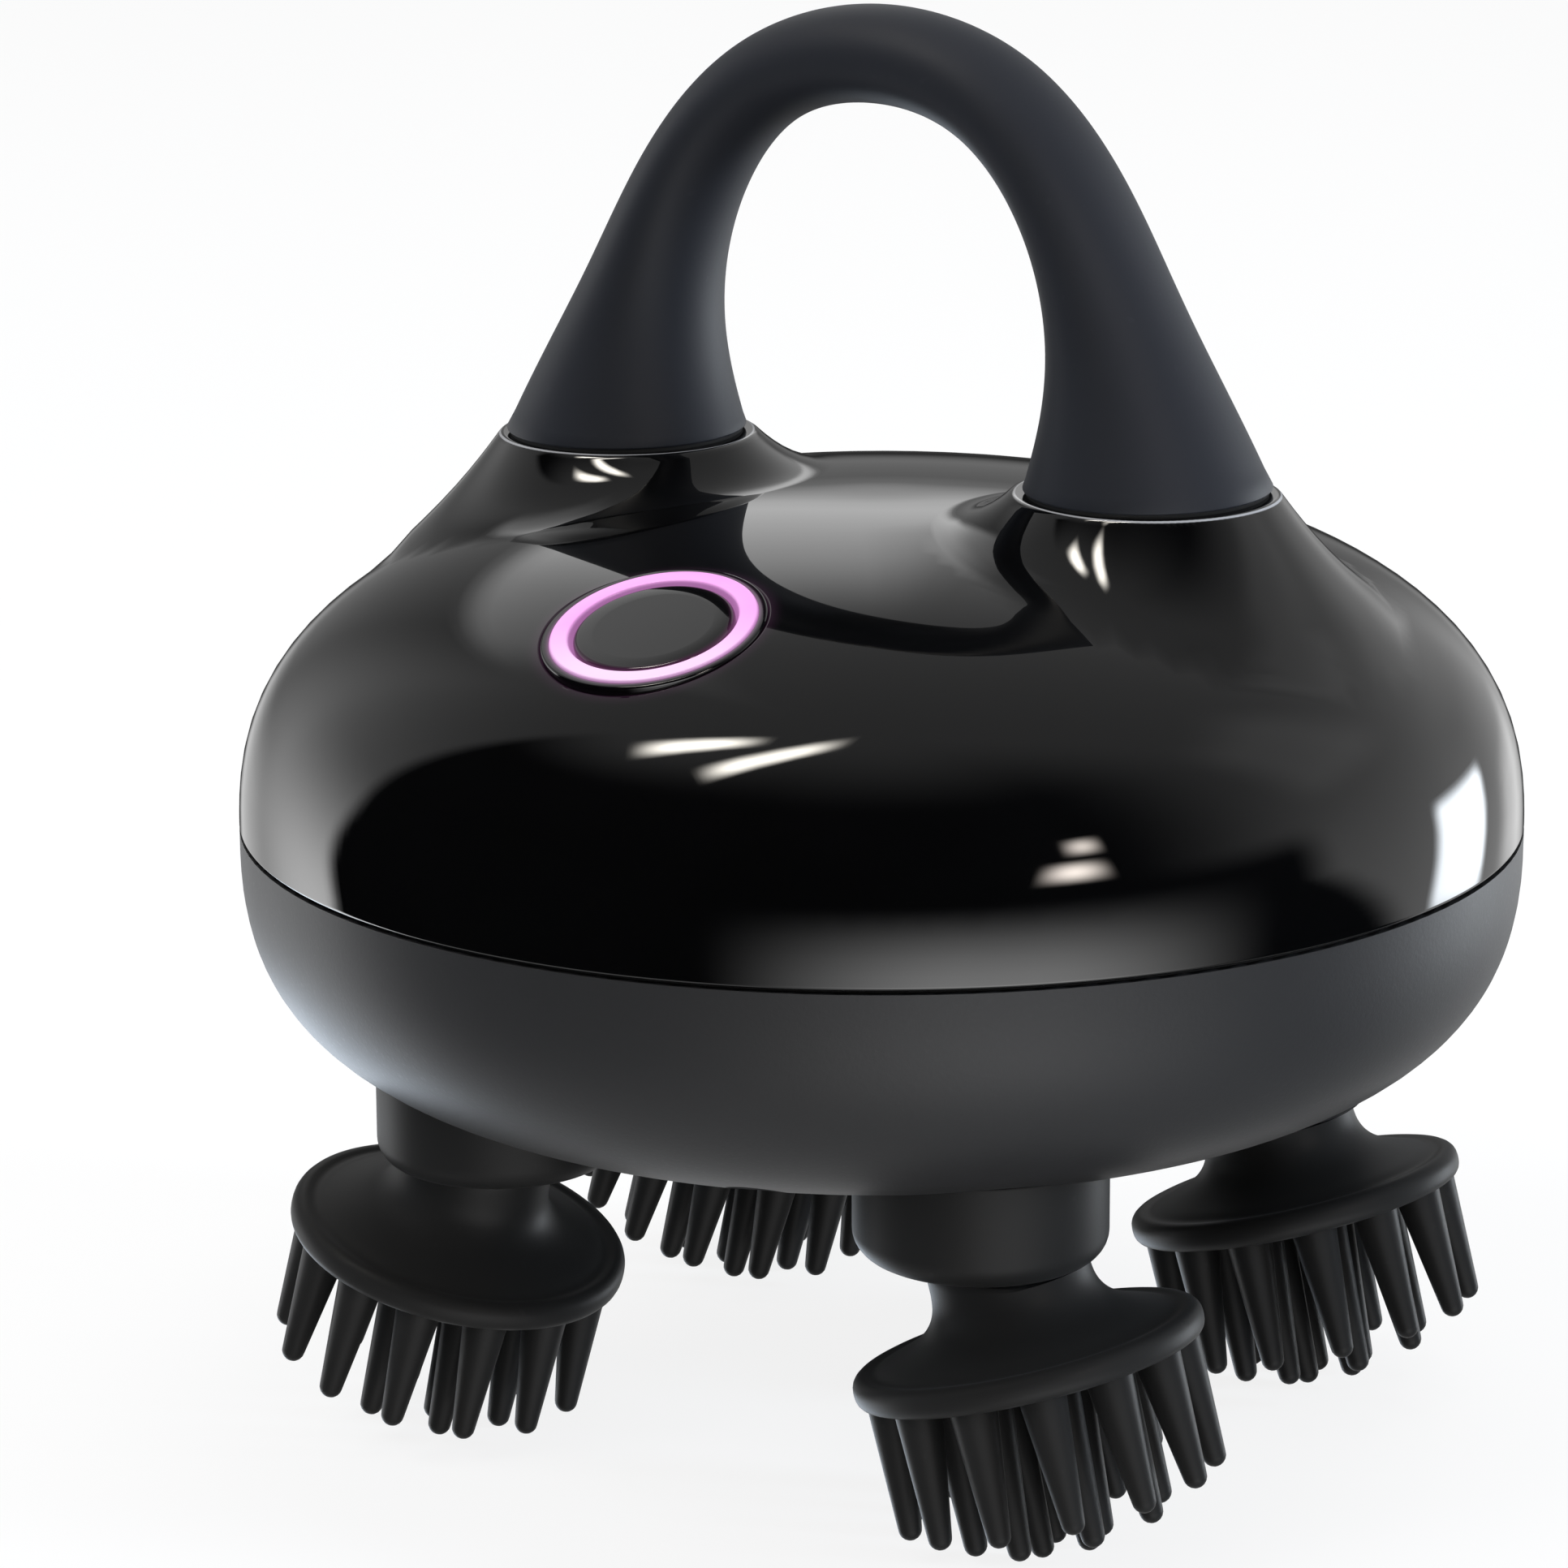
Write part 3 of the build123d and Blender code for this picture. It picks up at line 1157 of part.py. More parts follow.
with BuildPart() as core_space:
    with BuildSketch(Plane.XY.offset(neck_start)):
        Circle(CORE_TUBE_R + SEAT_FIT)
    extrude(amount=CORE_FLANGE[0] - neck_start)
    with BuildSketch(Plane.XY.offset(CORE_FLANGE[0] - SEAT_FIT)):
        Circle(CORE_FLANGE_R + SEAT_FIT)
    extrude(amount=CORE_FLANGE[1] - CORE_FLANGE[0] + 2 * SEAT_FIT)


def finger(length):
    """One tapered finger with a round tip, standing on the XY plane."""
    shoulder = length - FINGER_TIP_R
    with BuildPart() as piece:
        with BuildSketch(Plane.XZ):
            with BuildLine():
                Polyline((0, -FINGER_ROOT), (FINGER_BASE_R, -FINGER_ROOT), (FINGER_TIP_R, shoulder))
                RadiusArc((FINGER_TIP_R, shoulder), (0, length), -FINGER_TIP_R)
                Line((0, length), (0, -FINGER_ROOT))
            make_face()
        revolve(axis=Axis.Z)
    return piece.part


fingers = [
    Plane(origin=base, z_dir=tip - base).location * finger((tip - base).length)
    for base, tip in finger_lines()
]

with BuildPart() as massage_head:
    with BuildSketch(Plane.XZ):
        with BuildLine():
            Polyline((0, RIM_BOTTOM), (0, neck_start), (NECK_R, neck_start), (NECK_R, NECK_END))
            ThreePointArc((NECK_R, NECK_END), FLARE_MIDDLE, (FLARE_R, FLARE_END))
            Polyline(
                (FLARE_R, FLARE_END),
                (RIM_R - RIM_TOP_EDGE[0], RIM_TOP),
                (RIM_R, RIM_TOP + RIM_TOP_EDGE[1]),
                (RIM_R, RIM_BOTTOM - RIM_BOTTOM_EDGE),
                (RIM_R - RIM_BOTTOM_EDGE, RIM_BOTTOM),
                (0, RIM_BOTTOM),
            )
        make_face()
    revolve(axis=Axis.Z)
    add(fingers)
    add(core_space.part, mode=Mode.SUBTRACT)
    split(bisect_by=NECK_CUT, keep=Keep.BOTTOM)

for name, side, depth in CORNERS:
    place = head_plane(side, depth).location
    save(place * massage_head.part, f"massage_head_{name}")
    save(place * head_core.part, f"head_core_{name}")

print("seam above floor", round(SEAM_Z, 3), "spindle", round(SPINDLE_X, 4))
print("reduction gear", round(REDUCTION_X, 4), round(REDUCTION_Y, 4))
print("button tilt", round(degrees(button_tilt), 3), "at", BUTTON_PLANE.origin)
print("port lean", round(degrees(port_lean), 3), "at", PORT_PLANE.origin)
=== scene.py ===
"""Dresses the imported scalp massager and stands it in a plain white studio.

Sizes in the classes are millimetres; heights are measured from the seam between the two shells
unless a name says otherwise, and every mesh is written in metres in the frame of the CAD model.
"""

import json
import logging
import math
from collections.abc import Callable, Iterable, Sequence
from dataclasses import dataclass, field
from enum import Enum
from functools import lru_cache
from typing import Any

import bmesh
import bpy
import numpy as np
from mathutils import Matrix, Vector
from mathutils.geometry import delaunay_2d_cdt


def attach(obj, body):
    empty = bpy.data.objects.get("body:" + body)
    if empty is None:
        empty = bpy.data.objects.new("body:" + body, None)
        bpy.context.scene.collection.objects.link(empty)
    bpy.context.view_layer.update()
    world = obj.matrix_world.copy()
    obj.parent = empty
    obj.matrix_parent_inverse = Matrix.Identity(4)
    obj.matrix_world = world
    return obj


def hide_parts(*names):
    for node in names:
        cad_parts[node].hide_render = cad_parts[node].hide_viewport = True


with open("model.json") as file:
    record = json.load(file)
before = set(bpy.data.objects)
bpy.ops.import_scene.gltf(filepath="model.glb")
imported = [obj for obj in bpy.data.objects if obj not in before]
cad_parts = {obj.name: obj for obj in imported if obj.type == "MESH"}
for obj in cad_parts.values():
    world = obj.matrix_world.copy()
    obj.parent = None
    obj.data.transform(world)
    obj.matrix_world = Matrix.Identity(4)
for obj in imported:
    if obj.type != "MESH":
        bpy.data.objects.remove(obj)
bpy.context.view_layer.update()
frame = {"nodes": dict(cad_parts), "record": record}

MM = 0.001
SEAM_Z = 51.236

log = logging.getLogger("massager")
Colour = tuple[float, float, float]
Rows = list[np.ndarray]


# ==================================================================== shader maths


class Signal:
    """A shader socket that arithmetic can be written on."""

    def __init__(self, graph: "Graph", socket: bpy.types.NodeSocket) -> None:
        """Wraps a socket of a graph."""
        self.graph = graph
        self.socket = socket

    def math(
        self, operation: str, *others: "Signal | float", first: "Signal | float | None" = None
    ) -> "Signal":
        """Adds a Math node.

        Args:
            operation: The Math node's operation.
            others: The operands after this one.
            first: An operand that goes before this one.

        Returns:
            The node's result.
        """
        operands = ([first] if first is not None else []) + [self, *others]
        return self.graph.signal("ShaderNodeMath", {"operation": operation}, dict(enumerate(operands)))

    def __add__(self, other: "Signal | float") -> "Signal":
        """Sum."""
        return self.math("ADD", other)

    __radd__ = __add__

    def __mul__(self, other: "Signal | float") -> "Signal":
        """Product."""
        return self.math("MULTIPLY", other)

    __rmul__ = __mul__

    def __sub__(self, other: "Signal | float") -> "Signal":
        """Difference."""
        return self.math("SUBTRACT", other)

    def __rsub__(self, other: "Signal | float") -> "Signal":
        """Difference with this one taken away."""
        return self.math("SUBTRACT", first=other)

    def __truediv__(self, other: "Signal | float") -> "Signal":
        """Quotient."""
        return self.math("DIVIDE", other)

    def __rtruediv__(self, other: "Signal | float") -> "Signal":
        """Quotient with this one below."""
        return self.math("DIVIDE", first=other)

    def __pow__(self, power: "Signal | float") -> "Signal":
        """Power."""
        return self.math("POWER", power)

    def size(self) -> "Signal":
        """Absolute value."""
        return self.math("ABSOLUTE")

    def least(self, other: "Signal | float") -> "Signal":
        """Smaller of the two."""
        return self.math("MINIMUM", other)

    def most(self, other: "Signal | float") -> "Signal":
        """Larger of the two."""
        return self.math("MAXIMUM", other)

    def step(self, low: float, high: float) -> "Signal":
        """Smooth step from 0 at low to 1 at high."""
        return self.graph.signal(
            "ShaderNodeMapRange",
            {"interpolation_type": "SMOOTHSTEP"},
            {"Value": self, "From Min": low, "From Max": high},
        )


class Graph:
    """A node tree that is written as expressions."""

    def __init__(self, tree: bpy.types.NodeTree) -> None:
        """Starts an empty tree."""
        self.tree = tree
        tree.nodes.clear()

    def node(
        self,
        kind: str,
        settings: dict[str, Any] | None = None,
        inputs: dict[str | int, Any] | None = None,
    ) -> bpy.types.Node:
        """Adds one node.

        Args:
            kind: The node's type.
            settings: Its properties.
            inputs: Values or links of its sockets, by name or number.

        Returns:
            The node.
        """
        made = self.tree.nodes.new(kind)
        for key, value in (settings or {}).items():
            setattr(made, key, value)
        for key, value in (inputs or {}).items():
            if isinstance(value, Signal):
                self.tree.links.new(value.socket, made.inputs[key])
            elif isinstance(value, bpy.types.NodeSocket):
                self.tree.links.new(value, made.inputs[key])
            else:
                made.inputs[key].default_value = value
        return made

    def signal(
        self,
        kind: str,
        settings: dict[str, Any] | None = None,
        inputs: dict[str | int, Any] | None = None,
        output: str | int = 0,
    ) -> Signal:
        """Adds one node and wraps one of its outputs."""
        return Signal(self, self.node(kind, settings, inputs).outputs[output])

    def place(self) -> Signal:
        """Object coordinates."""
        return self.signal("ShaderNodeTexCoord", output="Object")

    def parts(self, vector: Signal) -> tuple[Signal, Signal, Signal]:
        """X, Y and Z of a vector."""
        made = self.node("ShaderNodeSeparateXYZ", inputs={0: vector})
        return tuple(Signal(self, made.outputs[index]) for index in range(3))

    def vector(self, operation: str, *vectors: Any, output: str | int = 0) -> Signal:
        """Adds a Vector Math node."""
        settings = {"operation": operation}
        return self.signal("ShaderNodeVectorMath", settings, dict(enumerate(vectors)), output)

    def off_axis(self, centre: Sequence[float], axis: Sequence[float]) -> Signal:
        """Distance from an axis through a centre."""
        offset = self.vector("SUBTRACT", self.place(), centre)
        return self.vector("LENGTH", self.vector("CROSS_PRODUCT", offset, axis), output="Value")

    def noise(
        self, scale: float, detail: float, rough: float = 0.5, at: Signal | None = None
    ) -> Signal:
        """Noise on object coordinates, with its scale in patches per metre."""
        inputs = {"Vector": at or self.place(), "Scale": scale, "Detail": detail, "Roughness": rough}
        return self.signal("ShaderNodeTexNoise", inputs=inputs)

    def blend(self, factor: Signal | float, low: Any, high: Any) -> Signal:
        """Mix of two colours."""
        made = self.node("ShaderNodeMix", {"data_type": "RGBA"}, {"Factor": factor})
        for socket, value in ((made.inputs[6], low), (made.inputs[7], high)):
            if isinstance(value, Signal):
                self.tree.links.new(value.socket, socket)
            else:
                socket.default_value = (*value, 1.0)
        return Signal(self, made.outputs[2])

    def bump(self, height: Signal, strength: float, distance: float) -> Signal:
        """Normal raised by a height."""
        inputs = {"Strength": strength, "Distance": distance, "Height": height}
        return self.signal("ShaderNodeBump", inputs=inputs)

    def gather(self, signals: Iterable[Signal], socket: bpy.types.NodeSocket) -> None:
        """Links several results to one socket that takes many."""
        for signal in signals:
            self.tree.links.new(signal.socket, socket)


def new_material(name: str) -> tuple[bpy.types.Material, Graph]:
    """A material with an empty graph."""
    made = bpy.data.materials.new(name)
    made.use_nodes = True
    return made, Graph(made.node_tree)


# ==================================================================== finishes


@dataclass(frozen=True)
class Finish:
    """What every finish has: a name, a base colour and a roughness.

    Attributes:
        name: The material's name.
        slot: The record's material slot that it stands for; not used.
        colour: Linear base colour.
        roughness: Mean roughness.
    """

    name: str
    slot: str
    colour: Colour
    roughness: float

    def toned(self, factor: float, lift: float = 0.0) -> Colour:
        """The base colour, made darker or paler by a factor and lifted."""
        return tuple(c * factor + lift for c in self.colour)

    def dress(self, graph: Graph) -> dict[str, Any]:
        """Sockets of the surface that this finish sets; the plain one has soft mottling."""
        cloud = graph.noise(90, 4)
        return {
            "Base Color": graph.blend(cloud, self.toned(0.85), self.colour),
            "Roughness": self.roughness + (cloud - 0.5) * 0.1,
        }

    def material(self) -> bpy.types.Material:
        """Makes the material, or returns it if it is there."""
        found = bpy.data.materials.get(self.name)
        if found:
            return found
        made, graph = new_material(self.name)
        surface = graph.node("ShaderNodeBsdfPrincipled", inputs=self.dress(graph))
        graph.node("ShaderNodeOutputMaterial", inputs={"Surface": surface.outputs[0]})
        return made


@dataclass(frozen=True)
class PolishedPlastic(Finish):
    """Piano-black moulding: a mirror skin over a dark body, with the faintest waviness.

    Attributes:
        painted_halo: Colour of the ring's light, painted as a glow on the skin beside the lit ring.
        painted_halo_span: Distances from the ring's axis where the painted glow starts and ends, in metres.
        painted_rim_highlight: Distance from the body's middle, radius and half width of the painted
            highlight lines on the seat rims, in metres.
    """

    painted_halo: Colour = (0.0, 0.0, 0.0)
    painted_halo_span: tuple[float, float] = (0.0088, 0.0106)
    painted_rim_highlight: tuple[float, float, float] = (0.0246, 0.01055, 0.00011)

    def dress(self, graph: Graph) -> dict[str, Any]:
        """Mirror gloss with fine dust, a soft painted glow of the ring's light and a painted highlight line
        on each seat's rim.
        """
        smear = graph.noise(160, 5, 0.6)
        # painted glow: the ring's light, painted as emission on the skin round the button
        glow = (1 - graph.off_axis(BUTTON_AT, BUTTON_AXIS).step(*self.painted_halo_span)) ** 2.0
        across, depth, _ = graph.parts(graph.place())
        # painted highlight: a thin pale line in the base colour along the rim of each seat
        middle, radius, half = self.painted_rim_highlight
        away = ((across.size() - middle) ** 2.0 + depth**2.0) ** 0.5
        painted_rim_highlight = 1 - ((away - radius).size() / half).step(0.4, 1.0)
        base = graph.blend(smear, self.colour, self.toned(1.5))
        return {
            # the pale grey of the seat rims' painted highlight
            "Base Color": graph.blend(painted_rim_highlight, base, (0.3, 0.3, 0.31)),
            "Roughness": self.roughness + smear.step(0.45, 0.8) * 0.02,
            "IOR": 1.5,
            "Normal": graph.bump(graph.noise(35, 2), 0.05, 0.0004),
            "Emission Color": graph.blend(glow, (0.0, 0.0, 0.0), self.painted_halo),
            "Emission Strength": 1.0,
        }


@dataclass(frozen=True)
class GrainedPlastic(Finish):
    """Matt moulding with a fine spark-eroded grain.

    Attributes:
        grain: Grains per metre.
        relief: Height of the grain, in metres.
        shine: Specular level.
    """

    grain: float = 2600.0
    relief: float = 0.00003
    shine: float = 0.5

    def dress(self, graph: Graph) -> dict[str, Any]:
        """Fine grain, broad soft mottling and slightly polished high spots."""
        cloud = graph.noise(55, 3)
        fine = graph.noise(self.grain, 2, 0.7)
        return {
            "Base Color": graph.blend(cloud * 0.6 + fine * 0.4, self.toned(0.88), self.toned(1.18)),
            "Roughness": self.roughness + (cloud - 0.5) * 0.08 - fine.step(0.55, 0.8) * 0.05,
            "Specular IOR Level": self.shine,
            "Normal": graph.bump(fine, 0.35, self.relief),
        }


@dataclass(frozen=True)
class SoftSkin(Finish):
    """Soft-touch elastomer or silicone: a matt skin with a faint bloom.

    Attributes:
        bloom: Sheen weight.
        shine: Specular level.
        relief: Height of the skin's texture, in metres.
    """

    bloom: float = 0.15
    shine: float = 0.3
    relief: float = 0.00002

    def dress(self, graph: Graph) -> dict[str, Any]:
        """Velvety skin with specks of lint and slow changes of tone."""
        cloud = graph.noise(40, 3)
        fine = graph.noise(3200, 2, 0.6)
        lint = graph.noise(900, 1).step(0.72, 0.8)
        tone = graph.blend(cloud, self.toned(0.9), self.toned(1.1))
        return {
            "Base Color": graph.blend(lint * 0.35, tone, self.toned(1.3, 0.004)),
            "Roughness": self.roughness + (cloud - 0.5) * 0.07,
            "Specular IOR Level": self.shine,
            "Sheen Weight": self.bloom,
            "Sheen Roughness": 0.4,
            "Normal": graph.bump(fine, 0.25, self.relief),
        }


@dataclass(frozen=True)
class LitGuide(Finish):
    """Frosted light guide, lit from below.

    Attributes:
        pale: Colour at its brightest, towards the front.
        middle: Mean radius of the ring, in metres.
        half: Half its width, in metres.
    """

    pale: Colour = (0.95, 0.72, 0.94)
    middle: float = 0.007425
    half: float = 0.000775

    def dress(self, graph: Graph) -> dict[str, Any]:
        """Even glow, paler on the ring's lower side and a little deeper at its edges."""
        edge = ((graph.off_axis(BUTTON_AT, BUTTON_AXIS) - self.middle) / self.half).size()
        across, depth, _ = graph.parts(graph.place())
        front = (across * 0.35 - depth).step(-BUTTON_AT[1] - 0.002, -BUTTON_AT[1] + 0.0085)
        cloud = graph.noise(240, 2)
        tone = front * 0.85 + cloud * 0.15
        lit = graph.blend(tone, self.colour, self.pale)
        return {
            "Base Color": graph.blend(cloud, (0.12, 0.05, 0.11), (0.16, 0.07, 0.15)),
            "Roughness": self.roughness + (cloud - 0.5) * 0.1,
            "Emission Color": graph.blend(edge.step(0.72, 1.08), lit, (0.25, 0.09, 0.24)),
            "Emission Strength": 0.95,
        }


@dataclass(frozen=True)
class Metal(Finish):
    """Turned, drawn or plated metal.

    Attributes:
        stretch: How much the tool marks are drawn out along the axis.
    """

    stretch: float = 0.08

    def dress(self, graph: Graph) -> dict[str, Any]:
        """Fine drawn marks and slightly uneven polish."""
        drawn = {"Vector": graph.place(), "Scale": (1.0, 1.0, self.stretch)}
        marks = graph.noise(4200, 3, 0.6, graph.signal("ShaderNodeMapping", inputs=drawn))
        cloud = graph.noise(130, 3)
        return {
            "Base Color": graph.blend(cloud, self.toned(0.82), self.colour),
            "Metallic": 1.0,
            "Roughness": self.roughness + (marks - 0.5) * 0.16,
            "Normal": graph.bump(marks, 0.2, 0.00001),
        }


@dataclass(frozen=True)
class Laminate(Finish):
    """Circuit board: solder mask over copper tracks, with the glass cloth showing faintly.

    Attributes:
        track: Colour of the mask over copper.
    """

    track: Colour = (0.05, 0.26, 0.1)

    def dress(self, graph: Graph) -> dict[str, Any]:
        """Tracks as cell borders under the mask."""
        cells = graph.signal(
            "ShaderNodeTexVoronoi", {"distance": "MANHATTAN"}, {"Vector": graph.place(), "Scale": 420.0}
        )
        track = cells.step(0.32, 0.36)
        weave = graph.noise(3000, 1)
        return {
            "Base Color": graph.blend(track, self.colour, self.track),
            "Roughness": self.roughness + weave * 0.08,
            "Normal": graph.bump(track, 0.4, 0.00003),
            "Coat Weight": 0.3,
        }


@dataclass(frozen=True)
class Sleeve(Finish):
    """Shrink sleeve or cable insulation: satin plastic film with fine wrinkles."""

    def dress(self, graph: Graph) -> dict[str, Any]:
        """Wrinkles across a satin film."""
        wrinkle = graph.noise(500, 4, 0.6)
        cloud = graph.noise(70, 2)
        return {
            "Base Color": graph.blend(cloud, self.toned(0.8), self.colour),
            "Roughness": self.roughness + (wrinkle - 0.5) * 0.12,
            "Normal": graph.bump(wrinkle, 0.3, 0.00004),
        }


# ==================================================================== mesh tools


def around(count: int) -> np.ndarray:
    """Angles spaced evenly round a circle."""
    return np.linspace(0, 2 * math.pi, count, endpoint=False)


def unit_circle(count: int) -> np.ndarray:
    """x and y of points spaced evenly round a circle of radius 1."""
    turns = around(count)
    return np.stack([np.cos(turns), np.sin(turns)], 1)


def circle_at(place: Matrix, radius: float, height: np.ndarray | float, count: int) -> np.ndarray:
    """Points of a circle about the z axis of a place.

    Args:
        place: Where the axis stands, in millimetres.
        radius: The circle's radius.
        height: Its height along the axis, or one height for each point.
        count: How many points.

    Returns:
        x, y and z of each point.
    """
    turns = around(count)
    level = np.broadcast_to(height, count)
    local = np.stack([radius * np.cos(turns), radius * np.sin(turns), level, np.ones(count)])
    return (np.array(place) @ local)[:3].T


def corner(points: Sequence[tuple[float, float, float]], steps: int = 5) -> list[tuple[float, float]]:
    """Rounds the corners of a half section.

    Args:
        points: (radius, height, fillet radius) from one end to the other.
        steps: Points on each rounded corner, less one.

    Returns:
        The (radius, height) points of the rounded line.
    """
    line: list[tuple[float, float]] = []
    for index, (x, y, fillet) in enumerate(points):
        if fillet == 0 or index in (0, len(points) - 1):
            line.append((x, y))
            continue
        here = Vector((x, y))
        back = (Vector(points[index - 1][:2]) - here).normalized()
        ahead = (Vector(points[index + 1][:2]) - here).normalized()
        half = math.acos(max(-1.0, min(1.0, back.dot(ahead)))) / 2
        reach = fillet / math.tan(half)
        centre = here + (back + ahead).normalized() * fillet / math.sin(half)
        start, end = here + back * reach - centre, here + ahead * reach - centre
        sweep = start.angle_signed(end)
        for step in range(steps + 1):
            turned = Matrix.Rotation(-sweep * step / steps, 2) @ start
            line.append(tuple(centre + turned))
    return line


class Blank:
    """Vertices and faces of one piece while it is made, in millimetres."""

    def __init__(self) -> None:
        """Starts with nothing."""
        self.points: list[np.ndarray] = []
        self.faces: list[tuple[int, ...]] = []
        self.count = 0

    def row(self, points: Iterable[Sequence[float]]) -> list[int]:
        """Adds a row of points and returns their numbers."""
        block = np.asarray(list(points), dtype=float)
        self.points.append(block)
        self.count += len(block)
        return list(range(self.count - len(block), self.count))

    def bridge(self, low: list[int], high: list[int]) -> None:
        """Joins two closed rows of the same length with quads."""
        for index in range(len(low)):
            after = (index + 1) % len(low)
            self.faces.append((low[index], low[after], high[after], high[index]))

    def bridges(self, rows: Sequence[list[int]], inward: bool = False) -> None:
        """Joins each closed row to the next; inward turns the faces round."""
        for low, high in zip(rows, rows[1:]):
            self.bridge(*((high, low) if inward else (low, high)))

    def fan(self, row: list[int], centre: Sequence[float], flip: bool = False) -> None:
        """Closes a row with triangles round a centre."""
        (hub,) = self.row([centre])
        for index in range(len(row)):
            face = (row[index], row[(index + 1) % len(row)], hub)
            self.faces.append(face[::-1] if flip else face)

    def turn(self, line: Sequence[tuple[float, float]], place: Matrix, count: int = 96) -> None:
        """Turns a half section about the z axis of a place; ends on the axis are closed.

        Args:
            line: (radius, height) points, with the solid on the left of the way.
            place: Where the axis stands, in millimetres.
            count: Points round the axis.
        """
        previous: list[int] | None = None
        hub: np.ndarray | None = None
        for radius, height in line:
            if radius < 1e-6:
                centre = (np.array(place) @ np.array([0, 0, height, 1.0]))[:3]
                if previous is None:
                    hub = centre
                else:
                    self.fan(previous, centre)
                continue
            row = self.row(circle_at(place, radius, height, count))
            if previous is not None:
                self.bridge(previous, row)
            elif hub is not None:
                self.fan(row, hub, flip=True)
            previous = row

    def raw(self, name: str) -> bpy.types.Mesh:
        """Makes the mesh as it was drawn."""
        mesh = bpy.data.meshes.new(name)
        mesh.from_pydata((np.concatenate(self.points) * MM).tolist(), [], self.faces)
        return mesh

    def mesh(self, name: str, sharp: float = 35.0) -> bpy.types.Mesh:
        """Makes the mesh, smooth except at edges sharper than an angle in degrees."""
        mesh = self.raw(name)
        tidy(mesh, sharp)
        return mesh


def tidy(mesh: bpy.types.Mesh, sharp: float, merge: float = 1e-7) -> None:
    """Merges doubles, points the faces outwards and sets smooth shading.

    Args:
        mesh: The mesh, in metres.
        sharp: Edges sharper than this many degrees stay sharp.
        merge: Points nearer than this are one.
    """
    work = bmesh.new()
    work.from_mesh(mesh)
    bmesh.ops.remove_doubles(work, verts=work.verts, dist=merge)
    bmesh.ops.dissolve_degenerate(work, dist=merge, edges=work.edges)
    bmesh.ops.recalc_face_normals(work, faces=work.faces)
    work.to_mesh(mesh)
    work.free()
    mesh.shade_smooth()
    mesh.set_sharp_from_angle(angle=math.radians(sharp))


def places_of(mesh: bpy.types.Mesh) -> np.ndarray:
    """Places of a mesh's vertices, in millimetres."""
    spots = np.empty(len(mesh.vertices) * 3)
    mesh.vertices.foreach_get("co", spots)
    return spots.reshape(-1, 3) / MM


def refine(
    mesh: bpy.types.Mesh,
    normals: Sequence[Any],
    trusted: Callable[[bpy.types.MeshPolygon], bool],
) -> None:
    """Sets the corner normals of a mesh.

    Args:
        mesh: The mesh.
        normals: The exact normal at each vertex.
        trusted: Tells whether a face takes them; the corners of any other face keep their own.
    """
    corners = []
    for face in mesh.polygons:
        taken = trusted(face)
        corners += [tuple(normals[index]) if taken else (0.0, 0.0, 0.0) for index in face.vertices]
    mesh.normals_split_custom_set(corners)


def piece(name: str, mesh: bpy.types.Mesh, finish: Finish | None = None) -> bpy.types.Object:
    """Puts a mesh in the scene as one piece at the origin."""
    made = bpy.data.objects.new(name, mesh)
    bpy.context.scene.collection.objects.link(made)
    if finish:
        mesh.materials.clear()
        mesh.materials.append(finish.material())
    return made


def stand_for(made: bpy.types.Object, node: str) -> None:
    """Makes a piece ride with a CAD node's body and stand for that node."""
    bodies = frame["record"]["behaviour"]["bodies"]
    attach(made, next(body for body, nodes in bodies.items() if node in nodes))
    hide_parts(node)
    log.info("%s stands for %s: %d faces", made.name, node, len(made.data.polygons))


def baked(host: bpy.types.Object) -> bpy.types.Mesh:
    """Plain mesh of an object as its modifiers leave it; the object is removed."""
    bpy.context.view_layer.update()
    seen = host.evaluated_get(bpy.context.evaluated_depsgraph_get())
    mesh = bpy.data.meshes.new_from_object(seen)
    host.modifiers.clear()
    bpy.data.objects.remove(host)
    return mesh


def joined(name: str, meshes: Sequence[bpy.types.Mesh]) -> bpy.types.Mesh:
    """One mesh of several."""
    work = bmesh.new()
    for mesh in meshes:
        work.from_mesh(mesh)
    whole = bpy.data.meshes.new(name)
    work.to_mesh(whole)
    work.free()
    return whole


# ==================================================================== geometry nodes


